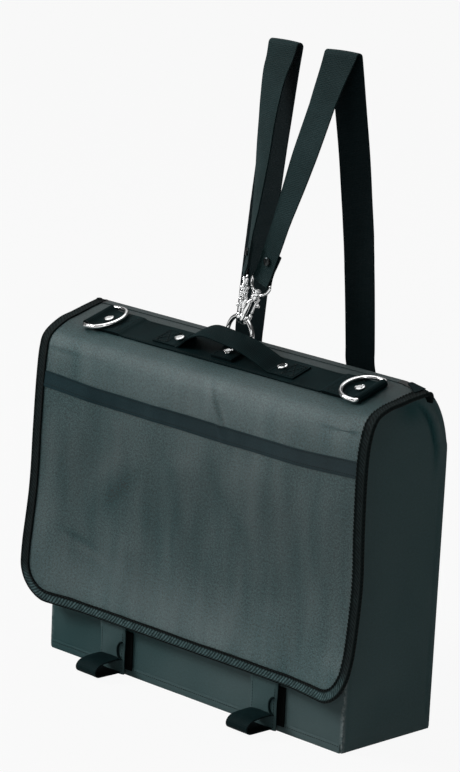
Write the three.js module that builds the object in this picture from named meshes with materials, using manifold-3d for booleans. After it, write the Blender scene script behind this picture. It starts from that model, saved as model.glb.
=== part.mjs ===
// A flap bag for folding music stands: a cloth body with a wide bound flap, a webbing strip with
// D-rings and a carry handle on top, and two shoulder straps clipped to a ring behind the handle.
// Millimetres, +Z up. The front faces -Y, +X is on the right of someone who looks at the front,
// and the origin is the middle of the bag's bottom.

import * as THREE from 'three';
import { mergeVertices } from 'three/addons/utils/BufferGeometryUtils.js';
import Module from 'manifold-3d';

const wasm = await Module();
wasm.setup();

// How finely curves are cut
const arcSteps = 8;
const wireSides = 10;
const rodSides = 8;
const postSides = 16;
const holeSides = 12;
const mergeTolerance = 0.003;
const mitreLimit = Math.SQRT1_2;

// Body
const bodyWidth = 440;
const bodyDepth = 130;
const clothThickness = 2.4;
const seamGap = 0.3;
const frontPanelHeight = 322;
const rearLean = 4;
const rearShoulderHeight = 285;
const backSeamHeight = 371;
const backSeamY = 12;
const boardThickness = 3;
const boardInset = 4;
const mouthDrop = 5;

// Flap
const flapOverhang = 23.3;
const flapSeamGap = 0.8;
const bindingSeamGap = 1.2;
const topRearRun = 18;
const rearRollShare = 0.125;
const topTilt = THREE.MathUtils.degToRad(17);
const deckRun = 43;
const flapStandOff = 8;
const shoulderDrop = 37;
const flapFrontLength = 277;
const flapFrontLean = THREE.MathUtils.degToRad(0.9);
const flapCornerRadius = 38;
const bindingWidth = 12;
const bindingThickness = 4.4;
const bandHeight = 17;
const bandDrop = 29;
const bandThickness = 1.6;

// Closures on the flap's lower edge
const closureInset = 106;
const tabWidth = 38;
const tabLength = 53.5;
const tabThickness = 2.5;
const tabSlant = 16;
const padSideReach = 10;
const padHeight = 42;
const padBottom = 7;
const padThickness = 2;
const fastenerInset = 2;
const fastenerThickness = 1.8;
const gripWidth = 30;
const gripReach = 37;
const gripRise = 14;
const gripFloorGap = 1.6;
const gripShares = { half: 0.5, upperNose: 0.96, upperRise: 0.55, noseRise: 0.2, lowerNose: 1.02 };
const keeperHeight = 19;
const keeperTopDrop = 18;
const keeperBulge = 7;
const keeperDiameter = 1.8;

// Webbing
const webbingWidth = 40;
const webbingThickness = 1.5;
const narrowWebbing = 30;
const handleWidth = 28;

// Carry handle
const handleRivetX = 76;
const handleArchHalf = 66;
const handleEndOuter = 103;
const handleRise = 22;
const handleJointGap = 0.5;
const archShares = [[-1, 0], [-0.73, 0.59], [-0.4, 1], [0, 0.93], [0.42, 0.73], [0.79, 0.3], [1, 0]];

// Side D-rings
const ringWire = 4.8;
const wireGap = 0.3;
const sideRingInset = 20;
const sideRingInside = 41.5;
const sideRingDepth = 33;
const sideRingLift = THREE.MathUtils.degToRad(4);
const ringCornerRadius = 3;
const ringLegShare = 0.3;
const stripTail = 50;
const stripSlope = 10;
const wrapOver = THREE.MathUtils.degToRad(28);

// Centre ring
const centreRingInside = 31.5;
const centreRingDepth = 31;
const centreRingDeckY = 14;
const tabFrontDeckY = -14;
const tabRivetDeckY = -2;

// Rivets
const rivetHeadDiameter = 10;
const rivetHeadHeight = 2;
const rivetRimShare = 0.25;
const rivetShaftDiameter = 4;
const rivetHoleClearance = 0.3;
const strapRivetDiameter = 8;

// Snap hooks
const hookRod = 4.2;
const hookBendRadius = 6.5;
const hookSpineLength = 16;
const hookTipRise = 3;
const hookWireRise = 6.3;
const hookLift = 1.4;
const collarRadius = 4.2;
const collarHeight = 5;
const collarBite = 1.05;
const stemRadius = 2;
const stemClearance = 0.35;
const stemHeadRadius = 3.4;
const stemHeadHeight = 2;
const bossHeight = 3.6;
const bossRadius = 5;
const eyeInside = 25;
const eyeHeight = 15;
const eyeRod = 3.2;
const eyeArmFootX = 4.4;
const eyeShoulderShares = { half: 0.85, rise: 0.45 };
const gateThickness = 2.4;
const gateWidth = 4.2;
const lugHeight = 3;
const leverReach = 6;
const leverBallDiameter = 4.4;

// Shoulder straps
const strapEyeWidth = 23;
const strapTailLength = 34;
const strapRivetRise = 22;
const strapPinchRise = 10.6;
const strapTaperShare = 0.5;
const strapTopHeight = 690;
const strapTopY = 19;
const strapFoldRadius = 4.5;
const strapSplitHeight = 450;
const strapSplitGap = 1.6;
const strapWaistHeight = 365;
const anchorInset = 95;
const anchorHeight = 26;
const patchWidth = 62;
const patchHeight = 46;
const patchThickness = 2;
const patchBelowShare = 0.25;
const sliderHeight = 150;
const sliderLength = 30;
const sliderFrame = 4.5;
const sliderThickness = 2.6;
const sliderBarWidth = 4.5;
const strapSides = {
  left: {
    hookX: 0, hookLean: 3, hookTilt: -4, hookTurn: 25, eyeTurn: -40, topX: 14, waistX: -63, outer: -1,
  },
  right: {
    hookX: 7.5, hookLean: 20, hookTilt: -8, hookTurn: -171, eyeTurn: 0, topX: 95, waistX: 100, outer: 1,
  },
};

const cloth = () => new THREE.MeshStandardMaterial({ color: 0x46524f, roughness: 0.9 });
const sideCloth = () => new THREE.MeshStandardMaterial({ color: 0x2c3b3c, roughness: 0.9 });
const bandCloth = () => new THREE.MeshStandardMaterial({ color: 0x27343a, roughness: 0.85 });
const webbing = () => new THREE.MeshStandardMaterial({ color: 0x161d1d, roughness: 0.8 });
const tape = () => new THREE.MeshStandardMaterial({ color: 0x0e1313, roughness: 0.85 });
const board = () => new THREE.MeshStandardMaterial({ color: 0x2a2a28, roughness: 0.8 });
const chrome = () => new THREE.MeshStandardMaterial({ color: 0xc8cccc, roughness: 0.2, metalness: 1 });

const bag = new THREE.Group();
const xAxis = new THREE.Vector3(1, 0, 0);
const vec = (x, y, z) => new THREE.Vector3(x, y, z);
const radians = THREE.MathUtils.degToRad;

function addPiece(parent, name, geometry, material) {
  const mesh = new THREE.Mesh(geometry, material);
  mesh.name = name;
  parent.add(mesh);
  return mesh;
}

// Solids

// An outline in the Y-Z plane, pushed along X from one place to another.
function alongX(outline, x0, x1) {
  const shape = new THREE.Shape(outline);
  const geometry = new THREE.ExtrudeGeometry(shape, { depth: x1 - x0, bevelEnabled: false });
  const turn = new THREE.Matrix4().makeBasis(vec(0, 1, 0), vec(0, 0, 1), vec(1, 0, 0));
  return geometry.applyMatrix4(turn).translate(x0, 0, 0);
}

// An outline in the X-Z plane, pushed along Y from the lower value to the higher.
function alongY(shape, y0, y1) {
  const settings = { depth: y1 - y0, bevelEnabled: false, curveSegments: arcSteps };
  const geometry = new THREE.ExtrudeGeometry(shape, settings);
  return geometry.rotateX(Math.PI / 2).translate(0, y1, 0);
}

function box(x0, x1, y0, y1, z0, z1) {
  const geometry = new THREE.BoxGeometry(x1 - x0, y1 - y0, z1 - z0);
  return geometry.translate((x0 + x1) / 2, (y0 + y1) / 2, (z0 + z1) / 2);
}

// The closed outline of a sheet: a line of points and the same line moved to its left side.
function sheetOutline(line, thickness, offset = 0) {
  const moved = (distance) => line.map((point, i) => {
    const before = line[Math.max(i - 1, 0)];
    const after = line[Math.min(i + 1, line.length - 1)];
    const into = point.clone().sub(before).normalize();
    const out = after.clone().sub(point).normalize();
    const tangent = into.add(out).normalize();
    const next = after === point ? tangent : after.clone().sub(point).normalize();
    const mitre = 1 / Math.max(tangent.dot(next), mitreLimit);
    return new THREE.Vector2(point.x - tangent.y * distance * mitre, point.y + tangent.x * distance * mitre);
  });
  return [...moved(offset), ...moved(offset + thickness).reverse()];
}

// A closed solid through rings of points, each with as many points as the first.
function loft(rings, closed = false) {
  const count = rings[0].length;
  const positions = rings.flat().flatMap((p) => [p.x, p.y, p.z]);
  const faces = [];
  const spans = closed ? rings.length : rings.length - 1;
  for (let i = 0; i < spans; i += 1) {
    const a = i * count;
    const b = ((i + 1) % rings.length) * count;
    for (let j = 0; j < count; j += 1) {
      const k = (j + 1) % count;
      faces.push(a + j, a + k, b + j, a + k, b + k, b + j);
    }
  }
  if (!closed) {
    const last = (rings.length - 1) * count;
    for (let j = 1; j < count - 1; j += 1) {
      faces.push(0, j + 1, j);
      faces.push(last, last + j, last + j + 1);
    }
  }
  const geometry = new THREE.BufferGeometry();
  geometry.setAttribute('position', new THREE.Float32BufferAttribute(positions, 3));
  geometry.setIndex(signedVolume(positions, faces) < 0 ? faces.reverse() : faces);
  return geometry;
}

function signedVolume(positions, faces) {
  const at = (i) => vec(positions[3 * i], positions[3 * i + 1], positions[3 * i + 2]);
  let sum = 0;
  for (let i = 0; i < faces.length; i += 3) {
    sum += at(faces[i]).dot(at(faces[i + 1]).cross(at(faces[i + 2])));
  }
  return sum;
}

// Webbing along stations, each with its middle, its width's direction and its width.
function ribbon(stations, thickness = webbingThickness) {
  const rings = stations.map((station, i) => {
    const before = stations[Math.max(i - 1, 0)].at;
    const after = stations[Math.min(i + 1, stations.length - 1)].at;
    const tangent = after.clone().sub(before).normalize();
    const normal = tangent.clone().cross(station.across).normalize();
    const corner = (a, n) => station.at.clone()
      .addScaledVector(station.across, (a * station.width) / 2)
      .addScaledVector(normal, (n * thickness) / 2);
    return [corner(-1, -1), corner(1, -1), corner(1, 1), corner(-1, 1)];
  });
  return loft(rings);
}

// Round wire along points that lie in the plane across the given direction.
function wire(points, planeNormal, diameter, closed, sides = wireSides) {
  const rings = points.map((point, i) => {
    const count = points.length;
    const before = closed ? points[(i + count - 1) % count] : points[Math.max(i - 1, 0)];
    const after = closed ? points[(i + 1) % count] : points[Math.min(i + 1, count - 1)];
    const tangent = after.clone().sub(before).normalize();
    const side = planeNormal.clone().cross(tangent).normalize();
    return Array.from({ length: sides }, (_, j) => {
      const angle = (2 * Math.PI * j) / sides;
      return point.clone()
        .addScaledVector(side, (Math.cos(angle) * diameter) / 2)
        .addScaledVector(planeNormal, (-Math.sin(angle) * diameter) / 2);
    });
  });
  return loft(rings, closed);
}

function toManifold(geometry) {
  const bare = geometry.clone();
  bare.deleteAttribute('normal');
  bare.deleteAttribute('uv');
  const merged = mergeVertices(bare, mergeTolerance);
  return new wasm.Manifold(new wasm.Mesh({
    numProp: 3,
    vertProperties: Float32Array.from(merged.attributes.position.array),
    triVerts: Uint32Array.from(merged.index.array),
  }));
}

function fromManifold(solid) {
  const mesh = solid.getMesh();
  const geometry = new THREE.BufferGeometry();
  geometry.setAttribute('position', new THREE.BufferAttribute(mesh.vertProperties, 3));
  geometry.setIndex(new THREE.BufferAttribute(mesh.triVerts, 1));
  return geometry;
}

const joined = (...parts) => fromManifold(parts.map(toManifold).reduce((a, b) => a.add(b)));

const cut = (geometry, ...tools) => fromManifold(
  tools.reduce((solid, tool) => solid.subtract(toManifold(tool)), toManifold(geometry)),
);

// A cylinder along Z between two heights.
function post(radius, z0, z1, sides = postSides) {
  return new THREE.CylinderGeometry(radius, radius, z1 - z0, sides).rotateX(Math.PI / 2)
    .translate(0, 0, (z0 + z1) / 2);
}

// A domed rivet whose shaft goes down through the layers below its head.
function rivet(headDiameter, depth) {
  const radius = headDiameter / 2;
  const shaft = rivetShaftDiameter / 2;
  const rim = rivetHeadHeight * rivetRimShare;
  const dome = Array.from({ length: arcSteps / 2 + 1 }, (_, i) => {
    const angle = (Math.PI / 2) * (1 - i / (arcSteps / 2));
    return new THREE.Vector2(radius * Math.sin(angle), rim + (rivetHeadHeight - rim) * Math.cos(angle));
  });
  dome[dome.length - 1].x = 0;
  const below = [[0, -depth], [shaft, -depth], [shaft, 0], [radius, 0]];
  const profile = [...below.map(([x, y]) => new THREE.Vector2(x, y)), ...dome];
  return new THREE.LatheGeometry(profile, postSides).rotateX(Math.PI / 2);
}

const rivetHole = (z0, z1) => post(rivetShaftDiameter / 2 + rivetHoleClearance, z0, z1, holeSides);

// Places that several pieces share

const quarterArc = (centre, radiusY, radiusZ, from, to) => Array.from({ length: arcSteps + 1 }, (_, i) => {
  const angle = from + ((to - from) * i) / arcSteps;
  return new THREE.Vector2(centre.x + radiusY * Math.cos(angle), centre.y + radiusZ * Math.sin(angle));
});

const rearArcCentre = new THREE.Vector2(backSeamY, rearShoulderHeight);
const rearArcReach = bodyDepth / 2 + rearLean - backSeamY;
const rearArcRise = backSeamHeight - rearShoulderHeight;
const rearLine = [
  new THREE.Vector2(bodyDepth / 2, 0),
  ...quarterArc(rearArcCentre, rearArcReach, rearArcRise, 0, Math.PI / 2),
];
const rearFaceY = (z) => bodyDepth / 2 + (rearLean * Math.min(z, rearShoulderHeight)) / rearShoulderHeight;

const deckRear = new THREE.Vector2(backSeamY - topRearRun, backSeamHeight - flapSeamGap);
const deckSlope = new THREE.Vector2(Math.cos(topTilt), Math.sin(topTilt)).multiplyScalar(deckRun);
const deckFront = deckRear.clone().sub(deckSlope);
const deckMiddle = deckRear.clone().add(deckFront).multiplyScalar(0.5);
const shoulder = new THREE.Vector2(-bodyDepth / 2 - flapStandOff, backSeamHeight - shoulderDrop);

// The flap's upper face from the back seam to the shoulder.
function flapTopLine() {
  const path = new THREE.Path();
  path.moveTo(backSeamY - flapSeamGap, backSeamHeight);
  path.quadraticCurveTo(deckRear.x + topRearRun * rearRollShare, backSeamHeight, deckRear.x, deckRear.y);
  path.lineTo(deckFront.x, deckFront.y);
  const turnY = shoulder.x + clothThickness / 2;
  const turnZ = deckFront.y - (deckFront.x - turnY) * Math.tan(topTilt);
  path.quadraticCurveTo(turnY, turnZ, shoulder.x, shoulder.y);
  return path.getPoints(arcSteps);
}

// Cloth body

function addBody() {
  const half = bodyWidth / 2;
  const inner = half - clothThickness - seamGap;
  const frontY = -bodyDepth / 2;
  const frontPanel = box(-inner, inner, frontY, frontY + clothThickness, 0, frontPanelHeight);
  addPiece(bag, 'front_panel', frontPanel, cloth());
  addPiece(bag, 'rear_panel', alongX(sheetOutline(rearLine, clothThickness), -inner, inner), sideCloth());
  const mouth = flapTopLine().filter((p) => p.x > frontY + mouthDrop);
  const gussetOutline = [
    new THREE.Vector2(frontY, 0),
    ...rearLine.slice(0, -1),
    ...mouth.map((p) => new THREE.Vector2(p.x, p.y - clothThickness - mouthDrop)),
    new THREE.Vector2(frontY, frontPanelHeight),
  ];
  addPiece(bag, 'left_gusset', alongX(gussetOutline, -half, -half + clothThickness), sideCloth());
  addPiece(bag, 'right_gusset', alongX(gussetOutline, half - clothThickness, half), sideCloth());
  const floorY = bodyDepth / 2 - clothThickness - seamGap;
  addPiece(bag, 'bottom_panel', box(-inner, inner, -floorY, floorY, 0, clothThickness), sideCloth());
  const boardX = inner - boardInset;
  const boardY = floorY - boardInset;
  const boardZ = clothThickness + seamGap;
  const baseBoard = box(-boardX, boardX, -boardY, boardY, boardZ, boardZ + boardThickness);
  addPiece(bag, 'base_board', baseBoard, board());
}

// Flap

const flapHalf = bodyWidth / 2 + flapOverhang;
const panelHalf = flapHalf - bindingWidth;

function addFlapTop() {
  const line = flapTopLine();
  const panel = sheetOutline(line, clothThickness);
  addPiece(bag, 'flap_top_panel', alongX(panel, -panelHalf + seamGap, panelHalf - seamGap), cloth());
  const proud = (bindingThickness - clothThickness) / 2;
  const edge = sheetOutline(line, bindingThickness, -proud);
  addPiece(bag, 'top_binding_left', alongX(edge, -flapHalf, -panelHalf), tape());
  addPiece(bag, 'top_binding_right', alongX(edge, panelHalf, flapHalf), tape());
}

// The flap's outline below the shoulder, drawn at some distance inside its edge.
function flapFrontShape(inset, topGap) {
  const x = flapHalf - inset;
  const bottom = -flapFrontLength + inset;
  const radius = flapCornerRadius - inset;
  const shape = new THREE.Shape();
  shape.moveTo(-x, -topGap);
  shape.lineTo(-x, bottom + radius);
  shape.absarc(-x + radius, bottom + radius, radius, Math.PI, 1.5 * Math.PI, false);
  shape.lineTo(x - radius, bottom);
  shape.absarc(x - radius, bottom + radius, radius, 1.5 * Math.PI, 2 * Math.PI, false);
  shape.lineTo(x, -topGap);
  return shape;
}

function addFlapFront() {
  const front = new THREE.Group();
  front.position.set(0, shoulder.x, shoulder.y);
  front.rotation.x = -flapFrontLean;
  bag.add(front);
  const panel = alongY(flapFrontShape(bindingWidth + seamGap, flapSeamGap), 0, clothThickness);
  addPiece(front, 'flap_front_panel', panel, cloth());
  const outer = flapFrontShape(0, bindingSeamGap).getPoints(arcSteps);
  const inner = flapFrontShape(bindingWidth, bindingSeamGap).getPoints(arcSteps);
  const proud = (bindingThickness - clothThickness) / 2;
  const ring = new THREE.Shape([...outer, ...inner.reverse()]);
  addPiece(front, 'front_binding', alongY(ring, -proud, clothThickness + proud), tape());
  const bandX = panelHalf - seamGap;
  const bandY = -seamGap - bandThickness;
  const band = box(-bandX, bandX, bandY, -seamGap, -bandDrop - bandHeight, -bandDrop);
  addPiece(front, 'flap_band', band, bandCloth());
  return front;
}

// Closures: a cloth tab with a webbing grip on the flap, and the pad that it holds to on the body

const closureX = bodyWidth / 2 - closureInset;
const flapFootOut = flapStandOff + flapFrontLength * Math.sin(flapFrontLean);
const closedStack = tabThickness + fastenerThickness + padThickness + 3 * seamGap;
const tabShift = flapFootOut - closedStack;

function addClosure(front, side, middle) {
  const padY = -bodyDepth / 2 - seamGap;
  const padX0 = middle - tabWidth / 2;
  const padX1 = padX0 + tabWidth + padSideReach;
  const pad = box(padX0, padX1, padY - padThickness, padY, padBottom, padBottom + padHeight);
  addPiece(bag, `closure_pad_${side}`, pad, webbing());
  const tab = new THREE.Group();
  tab.position.set(middle, 0, -flapFrontLength - flapSeamGap);
  front.add(tab);
  const slant = [[0, 0], [tabShift, -tabSlant], [tabShift, -tabLength]];
  const tabLine = slant.map(([y, z]) => new THREE.Vector2(y, z));
  const strip = alongX(sheetOutline(tabLine, tabThickness), -tabWidth / 2, tabWidth / 2);
  addPiece(tab, `closure_tab_${side}`, strip, cloth());
  const backY = tabShift + tabThickness + seamGap;
  const fastenerX = tabWidth / 2 - fastenerInset;
  const fastenerTop = -tabSlant - fastenerInset;
  const fastenerFoot = -tabLength + fastenerInset;
  const fastener = box(-fastenerX, fastenerX, backY, backY + fastenerThickness, fastenerFoot, fastenerTop);
  addPiece(tab, `tab_fastener_${side}`, fastener, webbing());
  const foot = -tabLength + gripFloorGap;
  const rootY = tabShift - seamGap;
  const nose = tabShift - gripReach;
  const middleY = nose * gripShares.half;
  const path = new THREE.Path();
  path.moveTo(rootY, foot + gripRise);
  const shoulderZ = foot + gripRise * gripShares.upperRise;
  const noseZ = foot + gripRise * gripShares.noseRise;
  path.bezierCurveTo(middleY, foot + gripRise, nose * gripShares.upperNose, shoulderZ, nose, noseZ);
  path.bezierCurveTo(nose * gripShares.lowerNose, foot, middleY, foot, rootY, foot);
  const loop = sheetOutline(path.getPoints(arcSteps), webbingThickness);
  addPiece(tab, `grip_loop_${side}`, alongX(loop, gripWidth / -2, gripWidth / 2), webbing());
  const keeperY = tabShift - seamGap - keeperDiameter / 2;
  const keeperX = tabWidth / 2 - keeperDiameter;
  const keeper = Array.from({ length: arcSteps + 1 }, (_, i) => {
    const angle = (Math.PI * i) / arcSteps;
    const drop = keeperTopDrop + (keeperHeight / 2) * (1 - Math.cos(angle));
    return vec(keeperX - keeperBulge * Math.sin(angle), keeperY, -drop);
  });
  addPiece(tab, `keeper_${side}`, wire(keeper, vec(0, 1, 0), keeperDiameter, false, rodSides), webbing());
}

// Webbing strip, side rings and handle, in the frame of the sloping top

const sideRingX = bodyWidth / 2 - sideRingInset;
const layer = webbingThickness + seamGap;
const layers = (count) => count * layer;
const stripTop = layer;
const barHeight = layer + wireGap + ringWire / 2;

// The strip's middle line: a tail under each end, a turn round the ring's bar, and the long run.
function stripLine() {
  const low = seamGap + webbingThickness / 2;
  const high = low + layer;
  const turn = ringWire / 2 + wireGap + webbingThickness / 2;
  const half = (side) => {
    const bend = Array.from({ length: arcSteps + 1 }, (_, i) => {
      const angle = -Math.PI / 2 + ((Math.PI + wrapOver) * i) / arcSteps;
      const x = side * (sideRingX + turn * Math.cos(angle));
      return new THREE.Vector2(x, barHeight + turn * Math.sin(angle));
    });
    return [
      new THREE.Vector2(side * (sideRingX - stripTail), low),
      ...bend,
      new THREE.Vector2(side * (sideRingX - stripSlope), high),
      new THREE.Vector2(side * (sideRingX - stripTail), high),
      new THREE.Vector2(side * (sideRingX - stripTail - stripSlope / 2), low),
    ];
  };
  return [...half(-1), ...half(1).reverse()];
}

// The centre line of a D-ring: its bar on the Y axis, its bow towards +X.
function ringLine(inside, depth) {
  const half = (inside + ringWire) / 2;
  const leg = depth * ringLegShare;
  const shape = new THREE.Path();
  shape.moveTo(0, -half + ringCornerRadius);
  shape.lineTo(0, half - ringCornerRadius);
  shape.quadraticCurveTo(0, half, ringCornerRadius, half);
  shape.lineTo(leg, half);
  shape.absellipse(leg, 0, depth - leg, half, Math.PI / 2, -Math.PI / 2, true);
  shape.lineTo(ringCornerRadius, -half);
  shape.quadraticCurveTo(0, -half, 0, -half + ringCornerRadius);
  const points = shape.getSpacedPoints(6 * arcSteps).slice(0, -1);
  return points.map((p) => vec(p.x, p.y, 0));
}

const ringSolid = (inside, depth) => wire(ringLine(inside, depth), vec(0, 0, 1), ringWire, true);

function addDeck() {
  const deck = new THREE.Group();
  deck.position.set(0, deckMiddle.x, deckMiddle.y);
  deck.rotation.x = topTilt;
  bag.add(deck);

  const stripShape = new THREE.Shape(sheetOutline(stripLine(), webbingThickness, -webbingThickness / 2));
  const strip = alongY(stripShape, -webbingWidth / 2, webbingWidth / 2);
  const rivetX = sideRingX - stripSlope - rivetHeadDiameter / 2 - seamGap;
  const hole = (x, y) => rivetHole(-layer, layers(3)).translate(x, y, 0);
  const holes = [-rivetX, -handleRivetX, handleRivetX, rivetX].map((x) => hole(x, 0));
  holes.push(hole(0, tabRivetDeckY));
  addPiece(deck, 'top_strip', cut(strip, ...holes), webbing());

  for (const [side, sign] of [['left', -1], ['right', 1]]) {
    const ring = ringSolid(sideRingInside, sideRingDepth);
    ring.rotateY(-sideRingLift);
    if (sign > 0) ring.rotateZ(Math.PI);
    addPiece(deck, `d_ring_${side}`, ring.translate(sign * sideRingX, 0, barHeight), chrome());
    const topFace = layers(2) + seamGap;
    const ringRivet = rivet(rivetHeadDiameter, layers(2)).translate(sign * rivetX, 0, topFace);
    addPiece(deck, `rivet_d_ring_${side}`, ringRivet, chrome());
    const endY = handleWidth / 2;
    const end = box(handleArchHalf, handleEndOuter, -endY, endY, layer + seamGap, layers(2));
    if (sign < 0) end.rotateZ(Math.PI);
    addPiece(deck, `handle_end_${side}`, cut(end, hole(sign * handleRivetX, 0)), webbing());
    const handleRivet = rivet(rivetHeadDiameter, layers(2)).translate(sign * handleRivetX, 0, topFace);
    addPiece(deck, `rivet_handle_${side}`, handleRivet, chrome());
  }
  return deck;
}

function addHandle(deck) {
  const reach = handleArchHalf - handleJointGap;
  const foot = layer + seamGap + webbingThickness / 2;
  const spots = archShares.map(([x, z]) => new THREE.Vector2(x * reach, foot + z * handleRise));
  const arch = new THREE.SplineCurve(spots).getPoints(3 * arcSteps);
  const shape = new THREE.Shape(sheetOutline(arch, webbingThickness, -webbingThickness / 2));
  addPiece(deck, 'carry_handle', alongY(shape, -handleWidth / 2, handleWidth / 2), webbing());
}

// Centre ring and the tab that holds it

const ringBarZ = layers(2) + seamGap + wireGap + ringWire / 2;

function addCentreRing(deck) {
  const low = stripTop + seamGap + webbingThickness / 2;
  const high = low + layer;
  const turn = ringWire / 2 + wireGap + webbingThickness / 2;
  const bend = Array.from({ length: arcSteps + 1 }, (_, i) => {
    const angle = -Math.PI / 2 + ((Math.PI + wrapOver) * i) / arcSteps;
    return new THREE.Vector2(centreRingDeckY + turn * Math.cos(angle), ringBarZ + turn * Math.sin(angle));
  });
  const line = [
    new THREE.Vector2(tabFrontDeckY, low),
    new THREE.Vector2(centreRingDeckY - stripSlope, low),
    ...bend,
    new THREE.Vector2(centreRingDeckY - stripSlope, high),
    new THREE.Vector2(tabFrontDeckY, high),
  ];
  const outline = sheetOutline(line, webbingThickness, -webbingThickness / 2);
  const sheet = alongX(outline, -narrowWebbing / 2, narrowWebbing / 2);
  const hole = rivetHole(0, layers(4)).translate(0, tabRivetDeckY, 0);
  addPiece(deck, 'ring_tab', cut(sheet, hole), webbing());
  const head = rivet(rivetHeadDiameter, layers(3)).translate(0, tabRivetDeckY, layers(3) + seamGap);
  addPiece(deck, 'rivet_ring_tab', head, chrome());

  const stand = new THREE.Group();
  stand.position.set(0, centreRingDeckY, ringBarZ);
  stand.rotation.x = -topTilt;
  deck.add(stand);
  const upright = new THREE.Matrix4().makeBasis(vec(0, 0, 1), vec(1, 0, 0), vec(0, 1, 0));
  const ring = ringSolid(centreRingInside, centreRingDepth).applyMatrix4(upright);
  addPiece(stand, 'centre_ring', ring, chrome());
  return stand;
}

// Snap hooks

const collarFoot = hookSpineLength + hookBendRadius;

// The hook's heights above the middle of the ring's wire, which lies in its bend.
const bendMiddle = hookBendRadius - hookWireRise;
const rodEnd = bendMiddle + collarFoot;
const collarBase = rodEnd - collarBite;
const collarTop = collarBase + collarHeight;
const lugFoot = rodEnd - lugHeight;
const gatePivot = lugFoot - seamGap - gateThickness / 2;

// The hook in its own X-Z plane: the ring's wire lies at the origin, the stem goes up.
function hookBodySolid() {
  const path = new THREE.Path();
  path.moveTo(0, rodEnd);
  path.quadraticCurveTo(hookBendRadius, rodEnd, hookBendRadius, bendMiddle + hookSpineLength);
  path.lineTo(hookBendRadius, bendMiddle);
  path.absarc(0, bendMiddle, hookBendRadius, 0, -Math.PI, true);
  path.lineTo(-hookBendRadius, bendMiddle + hookTipRise);
  const points = path.getPoints(arcSteps).map((p) => vec(p.x, 0, p.y));
  const rod = wire(points, vec(0, 1, 0), hookRod, false, rodSides);
  const collar = post(collarRadius, collarBase, collarTop);
  const headFoot = collarTop + bossHeight + 2 * stemClearance;
  const stem = post(stemRadius, collarBase, headFoot + stemHeadHeight / 2);
  const head = post(stemHeadRadius, headFoot, headFoot + stemHeadHeight);
  const lugX = -hookBendRadius - gateThickness / 2;
  const lug = box(lugX, 0, -gateWidth / 2, gateWidth / 2, lugFoot, rodEnd);
  return joined(rod, collar, stem, head, lug);
}

// The eye that turns on the hook's stem: a boss, two arms and the bar that the webbing goes round.
const eyeArmFoot = collarTop + stemClearance + bossHeight / 2;
const eyeBarHeight = eyeArmFoot + eyeHeight;

function hookEyeSolid() {
  const bossBase = collarTop + stemClearance;
  const boss = cut(
    post(bossRadius, bossBase, bossBase + bossHeight),
    post(stemRadius + stemClearance, bossBase - bossHeight, bossBase + 2 * bossHeight),
  );
  const half = (eyeInside + eyeRod) / 2;
  const arm = [
    [eyeArmFootX, eyeArmFoot],
    [half * eyeShoulderShares.half, eyeArmFoot + eyeHeight * eyeShoulderShares.rise],
    [half, eyeBarHeight - eyeRod],
    [half - eyeRod / 2, eyeBarHeight],
  ];
  const left = arm.map(([x, z]) => vec(-x, 0, z));
  const right = arm.map(([x, z]) => vec(x, 0, z)).reverse();
  return joined(boss, wire([...left, ...right], vec(0, 1, 0), eyeRod, false, rodSides));
}

// The gate closes the hook's mouth on its inner side; its lever ends in a ball.
function gateSolid() {
  const tip = bendMiddle + hookTipRise + seamGap;
  const x = -hookBendRadius;
  const half = gateThickness / 2;
  const blade = box(x - half, x + half, -gateWidth / 2, gateWidth / 2, tip, gatePivot);
  const knuckle = new THREE.CylinderGeometry(half, half, gateWidth, holeSides).translate(x, 0, gatePivot);
  const leverZ = (tip + gatePivot) / 2;
  const lever = box(x - leverReach, x, -half, half, leverZ, leverZ + gateThickness);
  const ball = new THREE.SphereGeometry(leverBallDiameter / 2, holeSides, rodSides);
  return joined(blade, knuckle, lever, ball.translate(x - leverReach, 0, leverZ + half));
}

// Puts one hook on the centre ring's bow and returns where its eye's bar is, in the bag's frame.
function addHook(stand, side, settings) {
  const half = (centreRingInside + ringWire) / 2;
  const leg = centreRingDepth * ringLegShare;
  const bow = centreRingDepth - leg;
  const hang = new THREE.Group();
  hang.position.set(settings.hookX, 0, leg + bow * Math.sqrt(1 - (settings.hookX / half) ** 2));
  hang.rotation.set(radians(settings.hookTilt), radians(settings.hookLean), 0);
  hang.translateZ(hookLift);
  stand.add(hang);
  const body = new THREE.Group();
  body.rotation.z = radians(90 + settings.hookTurn);
  hang.add(body);
  addPiece(body, `hook_body_${side}`, hookBodySolid(), chrome());
  addPiece(body, `hook_gate_${side}`, gateSolid(), chrome());
  const eye = new THREE.Group();
  eye.rotation.z = radians(settings.eyeTurn);
  hang.add(eye);
  addPiece(eye, `hook_eye_${side}`, hookEyeSolid(), chrome());
  bag.updateMatrixWorld(true);
  return {
    bar: eye.localToWorld(vec(0, 0, eyeBarHeight)),
    across: xAxis.clone().transformDirection(eye.matrixWorld),
  };
}

// Shoulder straps

function strapPlaces(settings, eye) {
  const topFront = vec(settings.topX, strapTopY - strapFoldRadius, strapTopHeight - strapFoldRadius);
  const topRear = vec(settings.topX, strapTopY + strapFoldRadius, strapTopHeight - strapFoldRadius);
  const clear = seamGap + webbingThickness;
  const shoulderRest = vec(0, rearFaceY(rearShoulderHeight) + clear, rearShoulderHeight);
  const waistShare = (strapTopHeight - strapWaistHeight) / (strapTopHeight - rearShoulderHeight);
  const waistY = THREE.MathUtils.lerp(topRear.y, shoulderRest.y, waistShare);
  const waist = vec(settings.waistX, waistY, strapWaistHeight);
  const atHeight = (z) => topRear.clone().lerp(waist, (topRear.z - z) / (topRear.z - waist.z));
  return { topFront, topRear, waist, atHeight, eye, shoulderRest, clear };
}

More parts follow.
